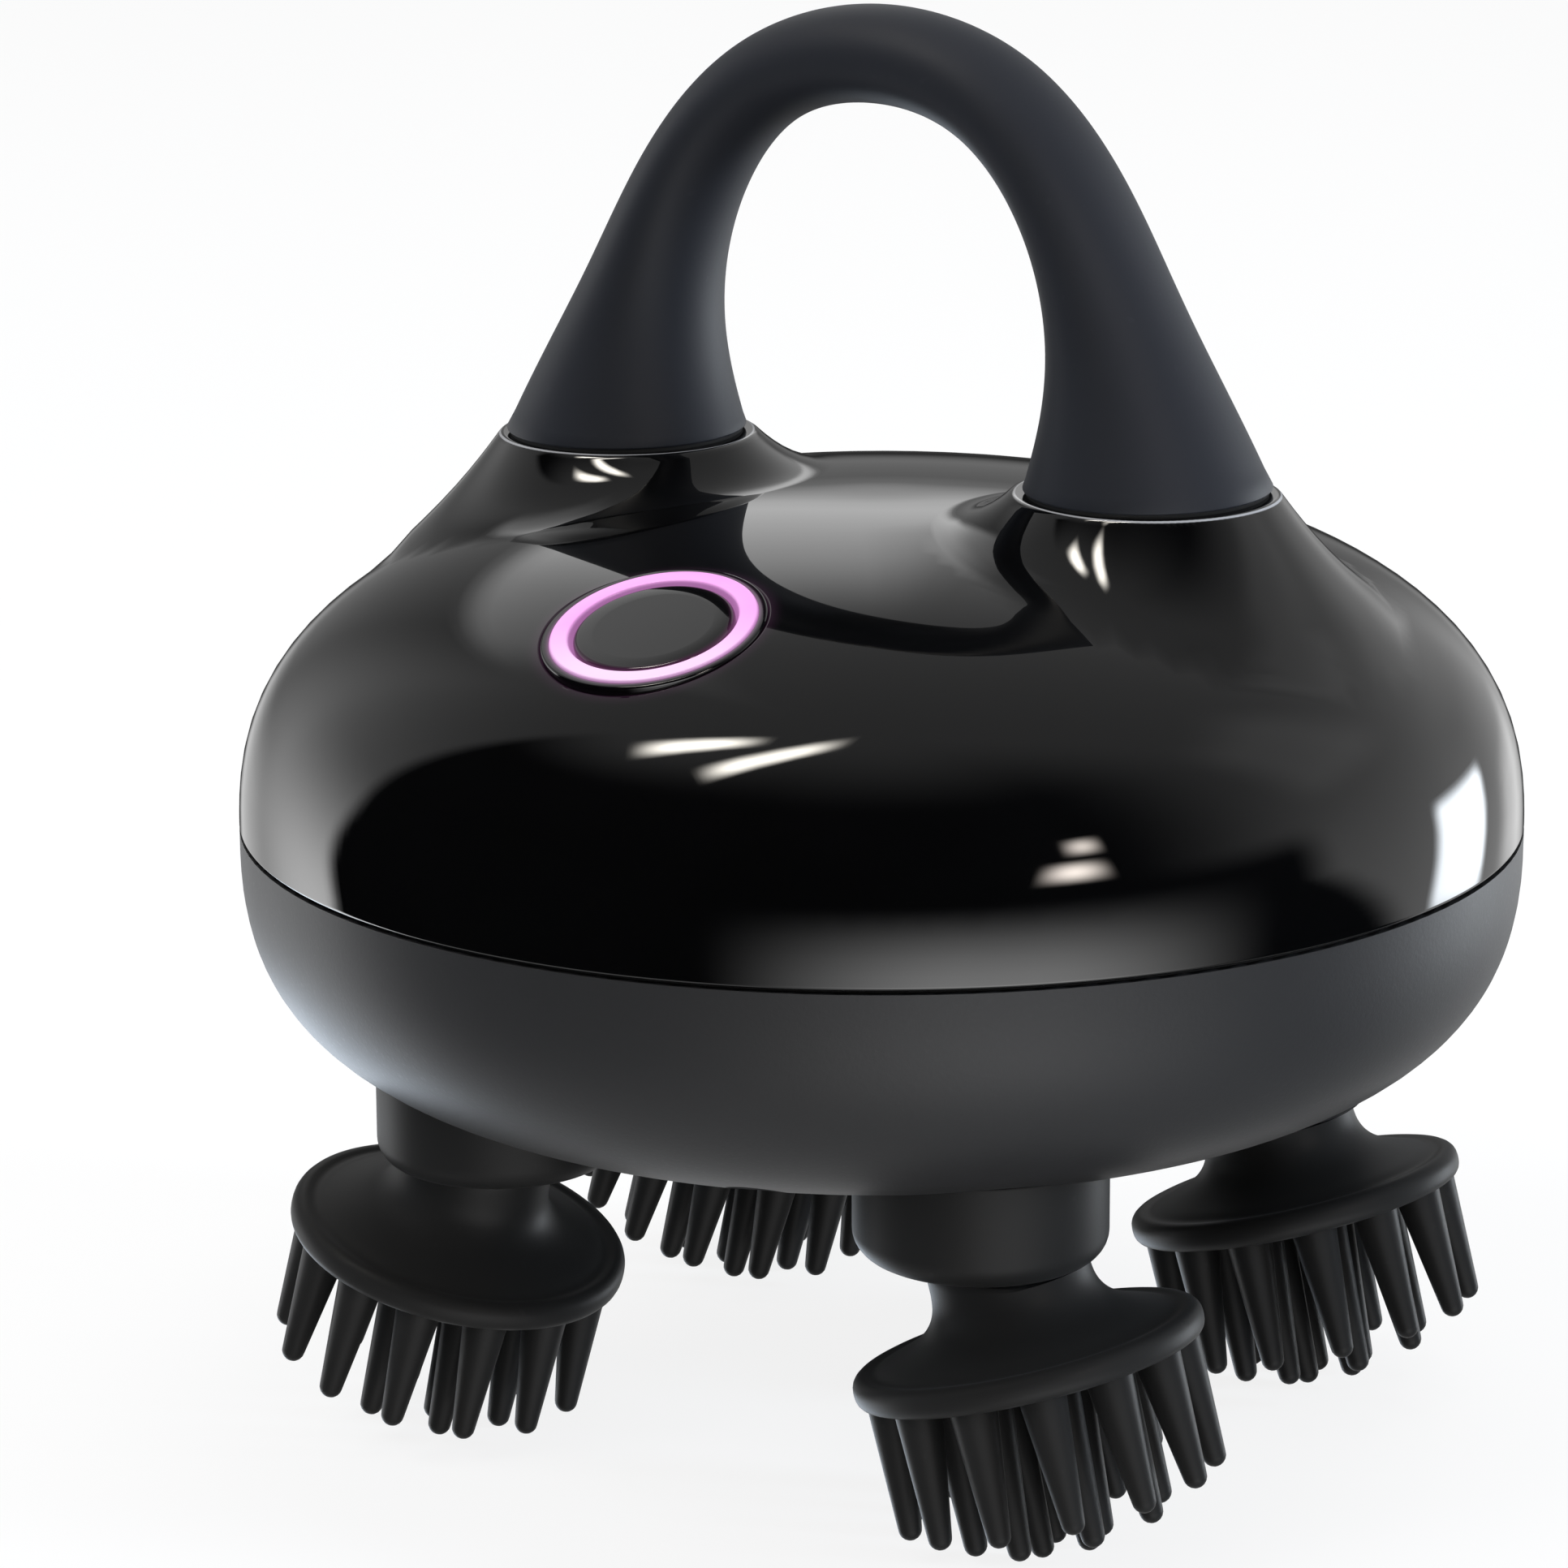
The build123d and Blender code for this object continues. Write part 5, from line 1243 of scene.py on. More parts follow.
@dataclass
class Handle:
    """The arched grip: elliptical sections from one seat over the top to the other.

    Attributes:
        stations: (x, height, lean in degrees, half thickness, half width) from the seat to the top.
        skin: Thickness of the soft skin.
        edge: Rounding of the two ends.
        rows: Sections from end to end, less one.
        sides: Points round a section.
    """

    stations: tuple[tuple[float, ...], ...] = (
        (24.6, 29.6, 0.0, 9.74, 10.43),
        (22.0, 40.6, 17.5, 5.76, 7.12),
        (17.5, 51.8, 32.5, 3.95, 6.12),
        (10.6, 59.35, 58.5, 3.75, 5.85),
        (0.0, 62.3, 90.0, 3.9, 5.72),
    )
    skin: float = 1.5
    edge: float = 0.2
    rows: int = 150
    sides: int = 72

    def course(self) -> np.ndarray:
        """Smooth run of sections through the stations, end to end."""
        right = [list(s) for s in self.stations]
        left = [[-x, z, 180 - lean, thick, wide] for x, z, lean, thick, wide in right[-2::-1]]
        knots = np.array(right + left)
        run = np.concatenate([[0], np.cumsum(np.hypot(*np.diff(knots[:, :2], axis=0).T))])
        fine = np.linspace(0, run[-1], self.rows + 1)
        return np.stack([spline(run, knots[:, column], fine) for column in range(knots.shape[1])], 1)

    def ring(self, section: np.ndarray, inset: float) -> np.ndarray:
        """Points round one section."""
        x, height, lean, thick, wide = section
        turns, lean = around(self.sides), math.radians(lean)
        across = (thick - inset) * np.cos(turns)
        level = SEAM_Z + height + across * math.sin(lean)
        return np.stack([x + across * math.cos(lean), (wide - inset) * np.sin(turns), level], 1)

    def ends(self, rings: Rows) -> Rows:
        """Rounds off the first and last ring."""

        def quarter(ring: np.ndarray) -> Rows:
            """Rows of a rounded end, from its flat face up."""
            centre = ring.mean(0)
            out = ring - centre
            length = np.linalg.norm(out, axis=1)[:, None]
            made = []
            for step in range(5):
                turn = step / 4 * math.pi / 2
                back = self.edge * (1 - math.sin(turn))
                rise = self.edge * (1 - math.cos(turn))
                made.append(centre + out * (1 - back / length) + [0, 0, rise])
            return made

        return quarter(rings[0]) + rings[2:-2] + quarter(rings[-1])[::-1]

    def build(self) -> bpy.types.Object:
        """Makes the hollow grip."""
        course = self.course()
        outer = self.ends([self.ring(section, 0) for section in course])
        inner = [self.ring(section, self.skin) for section in course]
        blank = Blank()
        outside = [blank.row(ring) for ring in outer]
        within = [blank.row(ring) for ring in inner]
        blank.bridges(outside)
        blank.bridges(within, inward=True)
        blank.bridge(within[0], outside[0])
        blank.bridge(outside[-1], within[-1])
        return piece("grip_skin", blank.mesh("grip_skin", 50.0), Finishes.SLATE_GRIP.value)


def spline(knots: np.ndarray, values: np.ndarray, at: np.ndarray) -> np.ndarray:
    """Natural cubic spline through the knots."""
    count, gaps = len(knots), np.diff(knots)
    system, right = np.eye(count), np.zeros(count)
    for i in range(1, count - 1):
        system[i, i - 1 : i + 2] = gaps[i - 1], 2 * (gaps[i - 1] + gaps[i]), gaps[i]
        rise, before = values[i + 1] - values[i], values[i] - values[i - 1]
        right[i] = 6 * (rise / gaps[i] - before / gaps[i - 1])
    bend = np.linalg.solve(system, right)
    i = np.clip(np.searchsorted(knots, at, side="right") - 1, 0, count - 2)
    gap, back, ahead = gaps[i], at - knots[i], knots[i + 1] - at
    return (
        (bend[i] * ahead**3 + bend[i + 1] * back**3) / (6 * gap)
        + (values[i] / gap - bend[i] * gap / 6) * ahead
        + (values[i + 1] / gap - bend[i + 1] * gap / 6) * back
    )


# ==================================================================== power button


@dataclass
class PowerButton:
    """Bezel, light ring and cap, turned about the button's axis; heights are from the dome there.

    Attributes:
        cap_r: Radius of the key.
        cap_top: Height of its face.
        ring_in: Inner radius of the ring.
        ring_out: Outer radius of the ring, under the bezel's lip.
        ring_face: Outer radius of its lit face.
        ring_top: Height of that face.
        bezel_r: Outer radius of the bezel.
        bezel_top: Height of its lip.
        ledge: Height of the ledge under the ring.
        ledge_t: Its thickness.
        ledge_bore: Its inner radius.
        ledge_r: Its outer radius.
        collar_r: Radius of the collar that keeps the key in.
        collar: Heights of the collar's lower and upper face.
        stem_r: Radius of the key's stem.
        stem_end: Height of its end.
        cap_wall: Thickness of the key's wall.
        play: Gap between the ring and the bezel.
        lip_play: Gap between the lit face and the lip.
        ring_step: How far under the lip's face the ring steps out.
        lip_t: Thickness of the lip.
    """

    cap_r: float = 6.35
    cap_top: float = -0.2
    ring_in: float = 6.65
    ring_out: float = 8.5
    ring_face: float = 8.2
    ring_top: float = -0.1
    bezel_r: float = 8.9
    bezel_top: float = -0.3
    ledge: float = -3.9
    ledge_t: float = 1.0
    ledge_bore: float = 7.1
    ledge_r: float = 10.0
    collar_r: float = 7.6
    collar: tuple[float, float] = (-5.9, -5.2)
    stem_r: float = 2.0
    stem_end: float = -6.5
    cap_wall: float = 1.2
    play: float = 0.02
    lip_play: float = 0.03
    ring_step: float = 0.7
    lip_t: float = 0.65

    def turned(self, name: str, line: list[tuple[float, float, float]], finish: Finish) -> bpy.types.Object:
        """Turns a half section about the button's axis."""
        blank = Blank()
        blank.turn(corner(line), BUTTON.place(), 128)
        return piece(name, blank.mesh(name), finish)

    def cap(self) -> bpy.types.Object:
        """The key, a hollow cap with its collar and stem."""
        low, high = self.collar
        bore, roof = self.cap_r - self.cap_wall, self.cap_top - self.cap_wall
        line = [
            (0, self.stem_end, 0), (self.stem_r, self.stem_end, 0.2), (self.stem_r, roof, 0),
            (bore, roof, 0), (bore, low, 0), (self.collar_r, low, 0), (self.collar_r, high, 0),
            (self.cap_r, high, 0),
            (self.cap_r, self.cap_top - 0.05, 0.4), (self.cap_r * 0.75, self.cap_top + 0.01, 3.0),
            (0, self.cap_top + 0.04, 0),
        ]
        return self.turned("power_key", line, Finishes.KEY_BLACK.value)

    def light(self) -> bpy.types.Object:
        """The lit ring."""
        low, step = self.ledge + self.play, self.bezel_top - self.ring_step
        line = [
            (self.ring_in, low, 0), (self.ring_out, low, 0), (self.ring_out, step, 0),
            (self.ring_face, step, 0), (self.ring_face, self.ring_top, 0.25),
            (self.ring_in, self.ring_top, 0.25), (self.ring_in, low, 0),
        ]
        return self.turned("lit_ring", line, Finishes.PINK_GUIDE.value)

    def bezel(self) -> bpy.types.Object:
        """The dark collar round the ring."""
        bore, lip = self.ring_out + self.play, self.ring_face + self.lip_play
        foot, step = self.ledge - self.ledge_t, self.bezel_top - self.lip_t
        line = [
            (self.ledge_bore, foot, 0), (self.ledge_r, foot, 0), (self.ledge_r, self.ledge, 0),
            (self.bezel_r, self.ledge, 0), (self.bezel_r, self.bezel_top, 0.2), (lip, self.bezel_top, 0.05),
            (lip, step, 0), (bore, step, 0), (bore, self.ledge, 0),
            (self.ledge_bore, self.ledge, 0), (self.ledge_bore, foot, 0),
        ]
        return self.turned("ring_bezel", line, Finishes.BEZEL_BLACK.value)


# ==================================================================== heads


@dataclass
class DriveHead:
    """One corner's drive cup and its massage head, on an axis that leans outward.

    Attributes:
        name: Which corner.
        side: -1 on the left, 1 on the right.
        depth: -1 at the front, 1 at the back.
        spread: Distance of the axis from the body's, across and along, where it leaves the bowl.
        pivot: Height there.
        tilt: Lean of the axis, in degrees.
        cup_r: Radius of the upright cup under the bowl.
        cup: Heights of its lower and upper end.
        cup_edge: Rounding of its lower rim.
        bore_r: Radius of the spindle's bore in it.
        bore_depth: Depth of that bore.
        post_r: Radius over the corners of the six-sided post.
        post: Where the post starts and ends, along the axis from the pivot.
        neck_r: Radius of the head's neck.
        neck_top: Height of the flat face that the neck meets.
        core_r: Radius of the rigid core's neck.
        core_flange: Radius, start and end of the core's flange.
        underside: Where the head's underside lies, along the axis.
        flare: (radius, distance along the axis) points of the head's outline.
        outline_rows: Rows of points over the flare.
        closing: Radii of the rings that close the underside.
        points: Points round the head and round the cup.
        finger_points: Points round a finger.
        finger_base: Radius of a finger at its root.
        finger_tip: Radius of its round tip.
        rings: Fingers, radius at the base and at the tips, reach and first turn of each ring.
    """

    name: str
    side: int
    depth: int
    spread: float = 22.8139
    pivot: float = -19.6
    tilt: float = 15.7
    cup_r: float = 10.1
    cup: tuple[float, float] = (-27.6, -18.9)
    cup_edge: float = 2.2
    bore_r: float = 3.02
    bore_depth: float = 4.6
    post_r: float = 3.9
    post: tuple[float, float] = (4.0, 15.0)
    neck_r: float = 6.4
    neck_top: float = -27.9
    core_r: float = 5.22
    core_flange: tuple[float, float, float] = (10.52, 14.88, 16.02)
    underside: float = 17.26
    flare: tuple[tuple[float, float], ...] = (
        (6.4, 9.9), (6.52, 11.0), (6.95, 12.1), (7.8, 13.05), (9.1, 13.8), (10.5, 14.35), (11.6, 14.75),
        (12.2, 14.98), (12.6, 15.0), (13.0, 14.92), (13.4, 14.96), (13.8, 15.2), (14.04, 15.6), (14.1, 16.1),
        (14.06, 16.6), (13.85, 17.0), (13.5, 17.2), (13.0, 17.26),
    )
    outline_rows: int = 46
    closing: tuple[float, ...] = (9.5, 6.0, 2.5, 0.01)
    points: tuple[int, int] = (112, 96)
    finger_points: int = 22
    finger_base: float = 1.9
    finger_tip: float = 0.95
    rings: tuple[tuple[float, ...], ...] = (
        (13, 11.5, 12.43, 10.9, 0), (8, 7.0, 7.75, 13.4, 0), (4, 3.0, 2.75, 14.8, 30),
    )

    def place(self) -> Matrix:
        """Matrix of the leaning axis: z runs down it from the pivot, x leans outward."""
        turn = math.radians(self.tilt)
        x = Vector((self.side * math.cos(turn), 0.0, math.sin(turn)))
        z = Vector((self.side * math.sin(turn), 0.0, -math.cos(turn)))
        turned = Matrix((x, z.cross(x), z)).transposed()
        at = Vector((self.side * self.spread, self.depth * self.spread, SEAM_Z + self.pivot))
        return Matrix.Translation(at) @ turned.to_4x4()

    def sleeve(self) -> bpy.types.Object:
        """The cup under the bowl, with the six-sided post that the head snaps onto."""
        low, high = self.cup
        floor = high - self.bore_depth
        line = [
            (0, low, 0), (self.cup_r, low, self.cup_edge), (self.cup_r, high, 0.3),
            (self.bore_r, high, 0), (self.bore_r, floor, 0), (0, floor, 0),
        ]
        upright = Matrix.Translation((self.side * self.spread, self.depth * self.spread, SEAM_Z))
        cup = Blank()
        cup.turn(corner(line, 8), upright, self.points[1])
        post = Blank()
        start, end = self.post
        blunt = [(self.post_r, end - 0.5), (self.post_r - 0.5, end)]
        post.turn([(0, start), (self.post_r, start), *blunt, (0, end)], self.place(), 6)
        name = f"drive_sleeve_{self.name}"
        mesh = joined(name, [cup.mesh("cup"), post.mesh("post")])
        return piece(name, mesh, Finishes.BLACK_SILICONE.value)

    def pad(self) -> bpy.types.Mesh:
        """Neck, flare and rim, hollow for the rigid core."""
        count, tilt = self.points[0], math.radians(self.tilt)
        turns = around(count)
        blank = Blank()

        def ring(radius: float, along: np.ndarray | float) -> list[int]:
            """Row of points at a radius and a distance along the axis."""
            return blank.row(circle_at(self.place(), radius, along, count))

        def level(radius: float, sink: float = 0.0) -> np.ndarray:
            """Where a circle of the neck meets the flat face under the cup."""
            drop = self.pivot - self.neck_top + sink
            return (drop + radius * np.cos(turns) * math.sin(tilt)) / math.cos(tilt)

        flange_r, flange_low, flange_high = self.core_flange
        # from the hollow's middle out round the core's flange, up its neck and over the rounded top
        rows = [
            ring(0.01, flange_high), ring(flange_r, flange_high), ring(flange_r, flange_low),
            ring(self.core_r, flange_low), ring(self.core_r, level(self.core_r)),
            ring(self.neck_r - 0.35, level(self.neck_r - 0.35)),
            ring(self.neck_r - 0.1, level(self.neck_r - 0.1, 0.1)),
            ring(self.neck_r, level(self.neck_r, 0.35)),
        ]
        shape = np.array(self.flare)
        run = np.concatenate([[0], np.cumsum(np.hypot(*np.diff(shape, axis=0).T))])
        fine = np.linspace(0, run[-1], self.outline_rows)
        radii, along = spline(run, shape[:, 0], fine), spline(run, shape[:, 1], fine)
        start = level(self.neck_r, 0.35)
        rows.append(ring(self.neck_r, (start + self.flare[0][1]) / 2))
        rows += [ring(radius, height) for radius, height in zip(radii, along)]
        rows += [ring(radius, self.underside) for radius in self.closing]
        blank.bridges(rows)
        return blank.mesh("pad", 40.0)

    def fingers(self, finish: Finish) -> bpy.types.Mesh:
        """Rings of tapered fingers under the rim."""
        shank, tip = UNIT_SHANK / MM, self.finger_tip
        line = [(self.finger_base, -0.4)]
        for share in np.linspace(0, 1, 7):
            line.append((self.finger_base + (tip - self.finger_base) * share, shank * share))
        for turn in np.linspace(0, math.pi / 2, 6)[1:]:
            line.append((tip * math.cos(turn), shank + tip * math.sin(turn)))
        blank = Blank()
        blank.turn(line, Matrix.Identity(4), self.finger_points)
        host = piece("finger", blank.mesh("finger", 60.0))
        values: dict[str, Any] = {"Material": finish.material()}
        for ring, (count, base, end, reach, first) in zip(RINGS, self.rings):
            values |= {
                f"{ring} Count": count,
                f"{ring} Radius": base * MM,
                f"{ring} Lean": math.atan2(end - base, reach),
                f"{ring} First": math.radians(first),
                f"{ring} Length": (math.hypot(reach, end - base) - tip) * MM,
            }
        mesh = finger_tree().run(host, values)
        place = self.place() @ Matrix.Translation((0, 0, self.underside))
        place.translation *= MM
        mesh.transform(place)
        return mesh

    def head(self) -> bpy.types.Object:
        """The silicone massage head."""
        finish = Finishes.BLACK_SILICONE.value
        name = f"finger_pad_{self.name}"
        made = piece(name, joined(name, [self.pad(), self.fingers(finish)]), finish)
        made.data.set_sharp_from_angle(angle=math.radians(40))
        return made

    def build(self) -> None:
        """Makes both pieces."""
        stand_for(self.sleeve(), f"drive_cup_{self.name}")
        stand_for(self.head(), f"massage_head_{self.name}")


# ==================================================================== screws and inner pieces


@dataclass
class ScrewSet:
    """A set of identical screws, heads down.

    Attributes:
        node: The CAD node that they stand for.
        name: The piece's name.
        places: x and y of each screw.
        seat: Height that the heads bear on.
        sizes: Head radius, head height, shank radius, length and recess radius.
    """

    node: str
    name: str
    places: tuple[tuple[float, float], ...]
    seat: float
    sizes: tuple[float, float, float, float, float]

    def build(self) -> None:
        """Makes the screws with Geometry Nodes."""
        finish = Finishes.STEEL.value
        points = bpy.data.meshes.new("places")
        points.from_pydata([(x * MM, y * MM, (SEAM_Z + self.seat) * MM) for x, y in self.places], [], [])
        values = dict(zip(SCREW_SIZES, (size * MM for size in self.sizes)))
        values["Material"] = finish.material()
        mesh = screw_tree().run(piece(self.name, points), values)
        tidy(mesh, 30.0)
        made = piece(self.name, mesh, finish)
        stand_for(made, self.node)


@dataclass
class InnerPieces:
    """CAD nodes that keep their own shape and only need their finish.

    Attributes:
        starts: What the names of the nodes start with that take each finish.
    """

    starts: tuple[tuple[Finishes, tuple[str, ...]], ...] = (
        (Finishes.SEAL_RUBBER, ("seam_gasket", "handle_seals", "shaft_seals")),
        (Finishes.FILLED_NYLON, ("handle_core", "head_core", "switch_plunger")),
        (Finishes.COMPONENT, ("tact_switch", "board_components")),
        (Finishes.BOARD, ("button_board", "main_board", "charge_board")),
        (Finishes.EMITTER, ("status_leds",)),
        (Finishes.ACETAL, ("pair_gear", "reduction_gear", "spindle_gear")),
        (Finishes.GREY_NYLON, ("gearbox", "battery_cradle", "motor_end_cap")),
        (Finishes.STEEL, ("gearbox_screws", "gear_axles", "small_screws", "charge_socket", "spindle")),
        (Finishes.BRONZE, ("spindle_bushes", "motor_pinion")),
        (Finishes.NICKEL, ("motor",)),
        (Finishes.CELL_SLEEVE, ("battery_cell",)),
        (Finishes.RED_LEAD, ("battery_leads", "motor_leads")),
    )

    def chosen(self, node: str) -> Finishes:
        """Finish of a node: that of the longest start of its name."""
        finish_of = {start: finish for finish, starts in self.starts for start in starts}
        return finish_of[max(filter(node.startswith, finish_of), key=len)]

    def dress(self, replaced: set[str]) -> None:
        """Assigns the finishes to every node that is still shown."""
        for node, shown in frame["nodes"].items():
            if node in replaced:
                continue
            finish = self.chosen(node).value
            if shown.material_slots:
                for slot in shown.material_slots:
                    slot.material = finish.material()
            else:
                shown.data.materials.append(finish.material())
            log.info("%s keeps its solid, in %s", node, finish.name)


def charge_flap() -> bpy.types.Object:
    """Soft flap over the charge socket, smoothed from its solid."""
    name = "charge_flap_skin"
    return piece(name, merged_copy("charge_cover", name), Finishes.SEAL_RUBBER.value)


# ==================================================================== studio


@dataclass
class Camera:
    """Camera of the product's view: from the right, a little above.

    Attributes:
        turn: Degrees round from the front, towards the right.
        rise: Degrees above the horizon.
        distance: Distance from the target, in metres.
        focal: Focal length in pixels of the frame.
        frame_px: Width of the frame, in pixels.
        sensor: Width of the sensor, in millimetres.
        aim: Pixel that the target falls on.
        target: Height of the target above the seam, in millimetres.
    """

    turn: float = 30.948
    rise: float = 14.652
    distance: float = 0.494989
    focal: float = 7421.078
    frame_px: float = 1932.0
    sensor: float = 36.0
    aim: tuple[float, float] = (1085.067, 943.357)
    target: float = 3.666

    def build(self) -> None:
        """Makes the camera and sets it on the scene."""
        turn, rise = math.radians(self.turn), math.radians(self.rise)
        right = Vector((math.cos(turn), math.sin(turn), 0.0))
        level = math.cos(rise)
        ahead = Vector((-math.sin(turn) * level, math.cos(turn) * level, -math.sin(rise)))
        above = right.cross(ahead)
        half = self.frame_px / 2
        aside, up = (self.aim[0] - half) / self.focal, (half - self.aim[1]) / self.focal
        off = Vector((aside, up, 1.0)).normalized()
        yaw, pitch = math.atan2(off.x, off.z), math.asin(off.y)
        cos, sin = math.cos(yaw), math.sin(yaw)
        about_up = Matrix(((cos, 0, sin), (0, 1, 0), (-sin, 0, cos)))
        cos, sin = math.cos(pitch), math.sin(pitch)
        about_side = Matrix(((1, 0, 0), (0, cos, sin), (0, -sin, cos)))
        turned = about_up @ about_side @ Matrix((right, above, ahead))
        lens = bpy.data.cameras.new("product_camera")
        lens.sensor_width = self.sensor
        lens.lens = self.sensor * self.focal / self.frame_px
        lens.clip_start, lens.clip_end = 0.01, 30.0
        made = bpy.data.objects.new("product_camera", lens)
        at = Vector((0.0, 0.0, (SEAM_Z + self.target) * MM)) - ahead * self.distance
        look = Matrix((turned[0], turned[1], -turned[2])).transposed()
        made.matrix_world = Matrix.Translation(at) @ look.to_4x4()
        bpy.context.scene.collection.objects.link(made)
        bpy.context.scene.camera = made


@dataclass
class Lamp:
    """One area lamp.

    Attributes:
        name: The lamp's name.
        at: Where it stands, in metres.
        aim: What it points at, in metres.
        size: Width and height, in metres.
        power: Watts.
        colour: Its colour.
    """

    name: str
    at: tuple[float, float, float]
    aim: tuple[float, float, float]
    size: tuple[float, float]
    power: float
    colour: Colour = (1.0, 1.0, 1.0)

    def build(self) -> None:
        """Makes the lamp."""
        light = bpy.data.lights.new(self.name, "AREA")
        light.shape, light.size, light.size_y = "RECTANGLE", *self.size
        light.energy, light.color = self.power, self.colour
        made = bpy.data.objects.new(self.name, light)
        made.location = self.at
        made.rotation_euler = (Vector(self.aim) - Vector(self.at)).to_track_quat("-Z", "Y").to_euler()
        made.visible_glossy = False
        bpy.context.scene.collection.objects.link(made)


def smooth(value: np.ndarray, low: float | np.ndarray, high: float | np.ndarray) -> np.ndarray:
    """Smooth step from 0 at low to 1 at high; low may be the larger."""
    share = np.clip((value - low) / (high - low), 0, 1)
    return share * share * (3 - 2 * share)


def heading(azimuth: np.ndarray, rise: np.ndarray) -> np.ndarray:
    """Unit vectors of directions given in degrees, the azimuth from the front to the right."""
    azimuth, rise = np.radians(azimuth), np.radians(rise)
    return np.stack([np.sin(azimuth) * np.cos(rise), -np.cos(azimuth) * np.cos(rise), np.sin(rise)], -1)


def reflected(
    name: str, azimuth: np.ndarray, rise: np.ndarray, tone: np.ndarray, far: float, colour: Colour,
    clear: bool = False,
) -> None:
    """Stands a glowing sheet in the studio that only reflections see.

    Args:
        name: Its name.
        azimuth: Azimuths of its grid of corners, in degrees.
        rise: Their elevations.
        tone: Their brightness.
        far: Distance from the middle of the floor, in metres.
        colour: Its colour.
        clear: Whether what stands behind it shows through.
    """
    rows, columns = azimuth.shape
    blank = Blank()
    blank.row((heading(azimuth, rise) * far / MM).reshape(-1, 3))
    for row in range(rows - 1):
        for step in range(columns - 1):
            start = row * columns + step
            blank.faces.append((start, start + 1, start + columns + 1, start + columns))
    mesh = blank.raw(name)
    levels = mesh.attributes.new("tone", "FLOAT", "POINT")
    levels.data.foreach_set("value", tone.ravel().astype(np.float32))
    made = piece(name, mesh)
    material, graph = new_material(name)
    level = graph.signal("ShaderNodeAttribute", {"attribute_name": "tone"}, output="Fac")
    glow = graph.node("ShaderNodeEmission", inputs={"Color": (*colour, 1.0), "Strength": level})
    if clear:
        through = graph.node("ShaderNodeBsdfTransparent", inputs={"Color": (1.0, 1.0, 1.0, 1.0)})
        glow = graph.node("ShaderNodeAddShader", inputs={0: glow.outputs[0], 1: through.outputs[0]})
    graph.node("ShaderNodeOutputMaterial", inputs={"Surface": glow.outputs[0]})
    made.data.materials.append(material)
    made.visible_camera = made.visible_diffuse = made.visible_shadow = made.visible_transmission = False


@dataclass
class Surround:
    """The room as the polished shell reflects it: pale sides, a black card in front, a bright floor.

    Attributes:
        far: Its distance, in metres.
        card: Azimuths of the card's sharp left edge and of its soft right edge's start and end.
        card_top: Elevations where the card starts and ends to fade, on its right and on its left.
    """

    far: float = 1.6
    card: tuple[float, float, float] = (-74.5, 72.0, 128.0)
    card_top: tuple[float, float, float, float] = (56.0, 90.0, 48.0, 66.0)

    def walls(self, azimuth: np.ndarray, rise: np.ndarray) -> np.ndarray:
        """Brightness of the walls, paler low down than high up."""
        back = np.abs(azimuth)
        side = 0.38 + 0.62 * smooth(rise, 58, -8)
        side *= 1 - 0.2 * smooth(back, 150, 168) * smooth(rise, 22, 12)
        side += 0.8 * smooth(back, 168, 177) * smooth(rise, 1, -6) * smooth(rise, -18, -12)
        # a pale wall over a dark one, behind and to the left, with a slanting edge between them
        ledge = np.maximum(15.0, 24 + 0.9 * (azimuth + 133))
        above = smooth(rise, ledge - 2.5, ledge + 3)
        dark = (1 - above) * smooth(azimuth, -174, -162) * smooth(azimuth, -102, -124)
        side *= 1 - 0.69 * dark * smooth(rise, -9, 3)
        turned = -148 - 13 * smooth(rise, 24, 8)
        pale = 0.72 - 0.32 * smooth(azimuth, -143, -131)
        pale *= above * smooth(rise - ledge, 36, 14)
        side += pale * smooth(azimuth, turned - 5, turned) * smooth(azimuth, -108, -122)
        # a lighter patch high up on the right, behind
        patch = smooth(np.abs(azimuth - 135), 22, 6)
        return side + 0.25 * patch * smooth(rise, 25, 35) * smooth(rise, 60, 48)

    def before_card(self, azimuth: np.ndarray, rise: np.ndarray) -> np.ndarray:
        """Share of the card's width that covers a direction: sharp on the left, soft on the right."""
        left, right, soft = self.card
        left = left - 5 * smooth(rise, 16, -10)
        foot = np.maximum(112.0, 117 - 1.1 * (rise + 1))
        low_edge = 1 - smooth(azimuth, foot - 6, foot + 6)
        high_edge = 1 - smooth(azimuth, right, soft)
        share = smooth(rise, 12, 24)
        return smooth(azimuth, left - 2.8, left + 2.8) * (low_edge * (1 - share) + high_edge * share)

    def tone(self, azimuth: np.ndarray, rise: np.ndarray) -> np.ndarray:
        """Brightness seen in a direction."""
        width = self.before_card(azimuth, rise)
        turn = smooth(azimuth, 0, -70)
        start = self.card_top[0] + (self.card_top[2] - self.card_top[0]) * turn
        end = self.card_top[1] + (self.card_top[3] - self.card_top[1]) * turn
        tone = self.walls(azimuth, rise) * (1 - width * (1 - smooth(rise, start, end)))
        # the floor's light, broad under the right front and narrow beside the card on the left
        tone += 5.2 * smooth(rise, 14, -28) * smooth(np.abs(azimuth - 51), 52, 5)
        tone += 3.8 * smooth(rise, 26, -30) * smooth(azimuth, -112, -80) * (1 - width) * (azimuth < 0)
        # what lies straight behind the object is dark and draws its thin outline
        aside = np.abs(azimuth + 149)
        beyond = np.hypot(np.minimum(aside, 360 - aside), rise + 14.6)
        tone *= 1 - 0.93 * smooth(beyond, 21, 14)
        ground = 0.8 - 0.45 * smooth(azimuth, 60, 120)
        return np.where(rise < -28, tone + (ground - tone) * smooth(rise, -28, -50), tone)

    def build(self) -> None:
        """Makes the sheet all round."""
        azimuth, rise = np.meshgrid(np.linspace(-180, 180, 241), np.linspace(-90, 90, 121))
        reflected("surround", azimuth, rise, self.tone(azimuth, rise), self.far, (1.0, 1.0, 1.0))


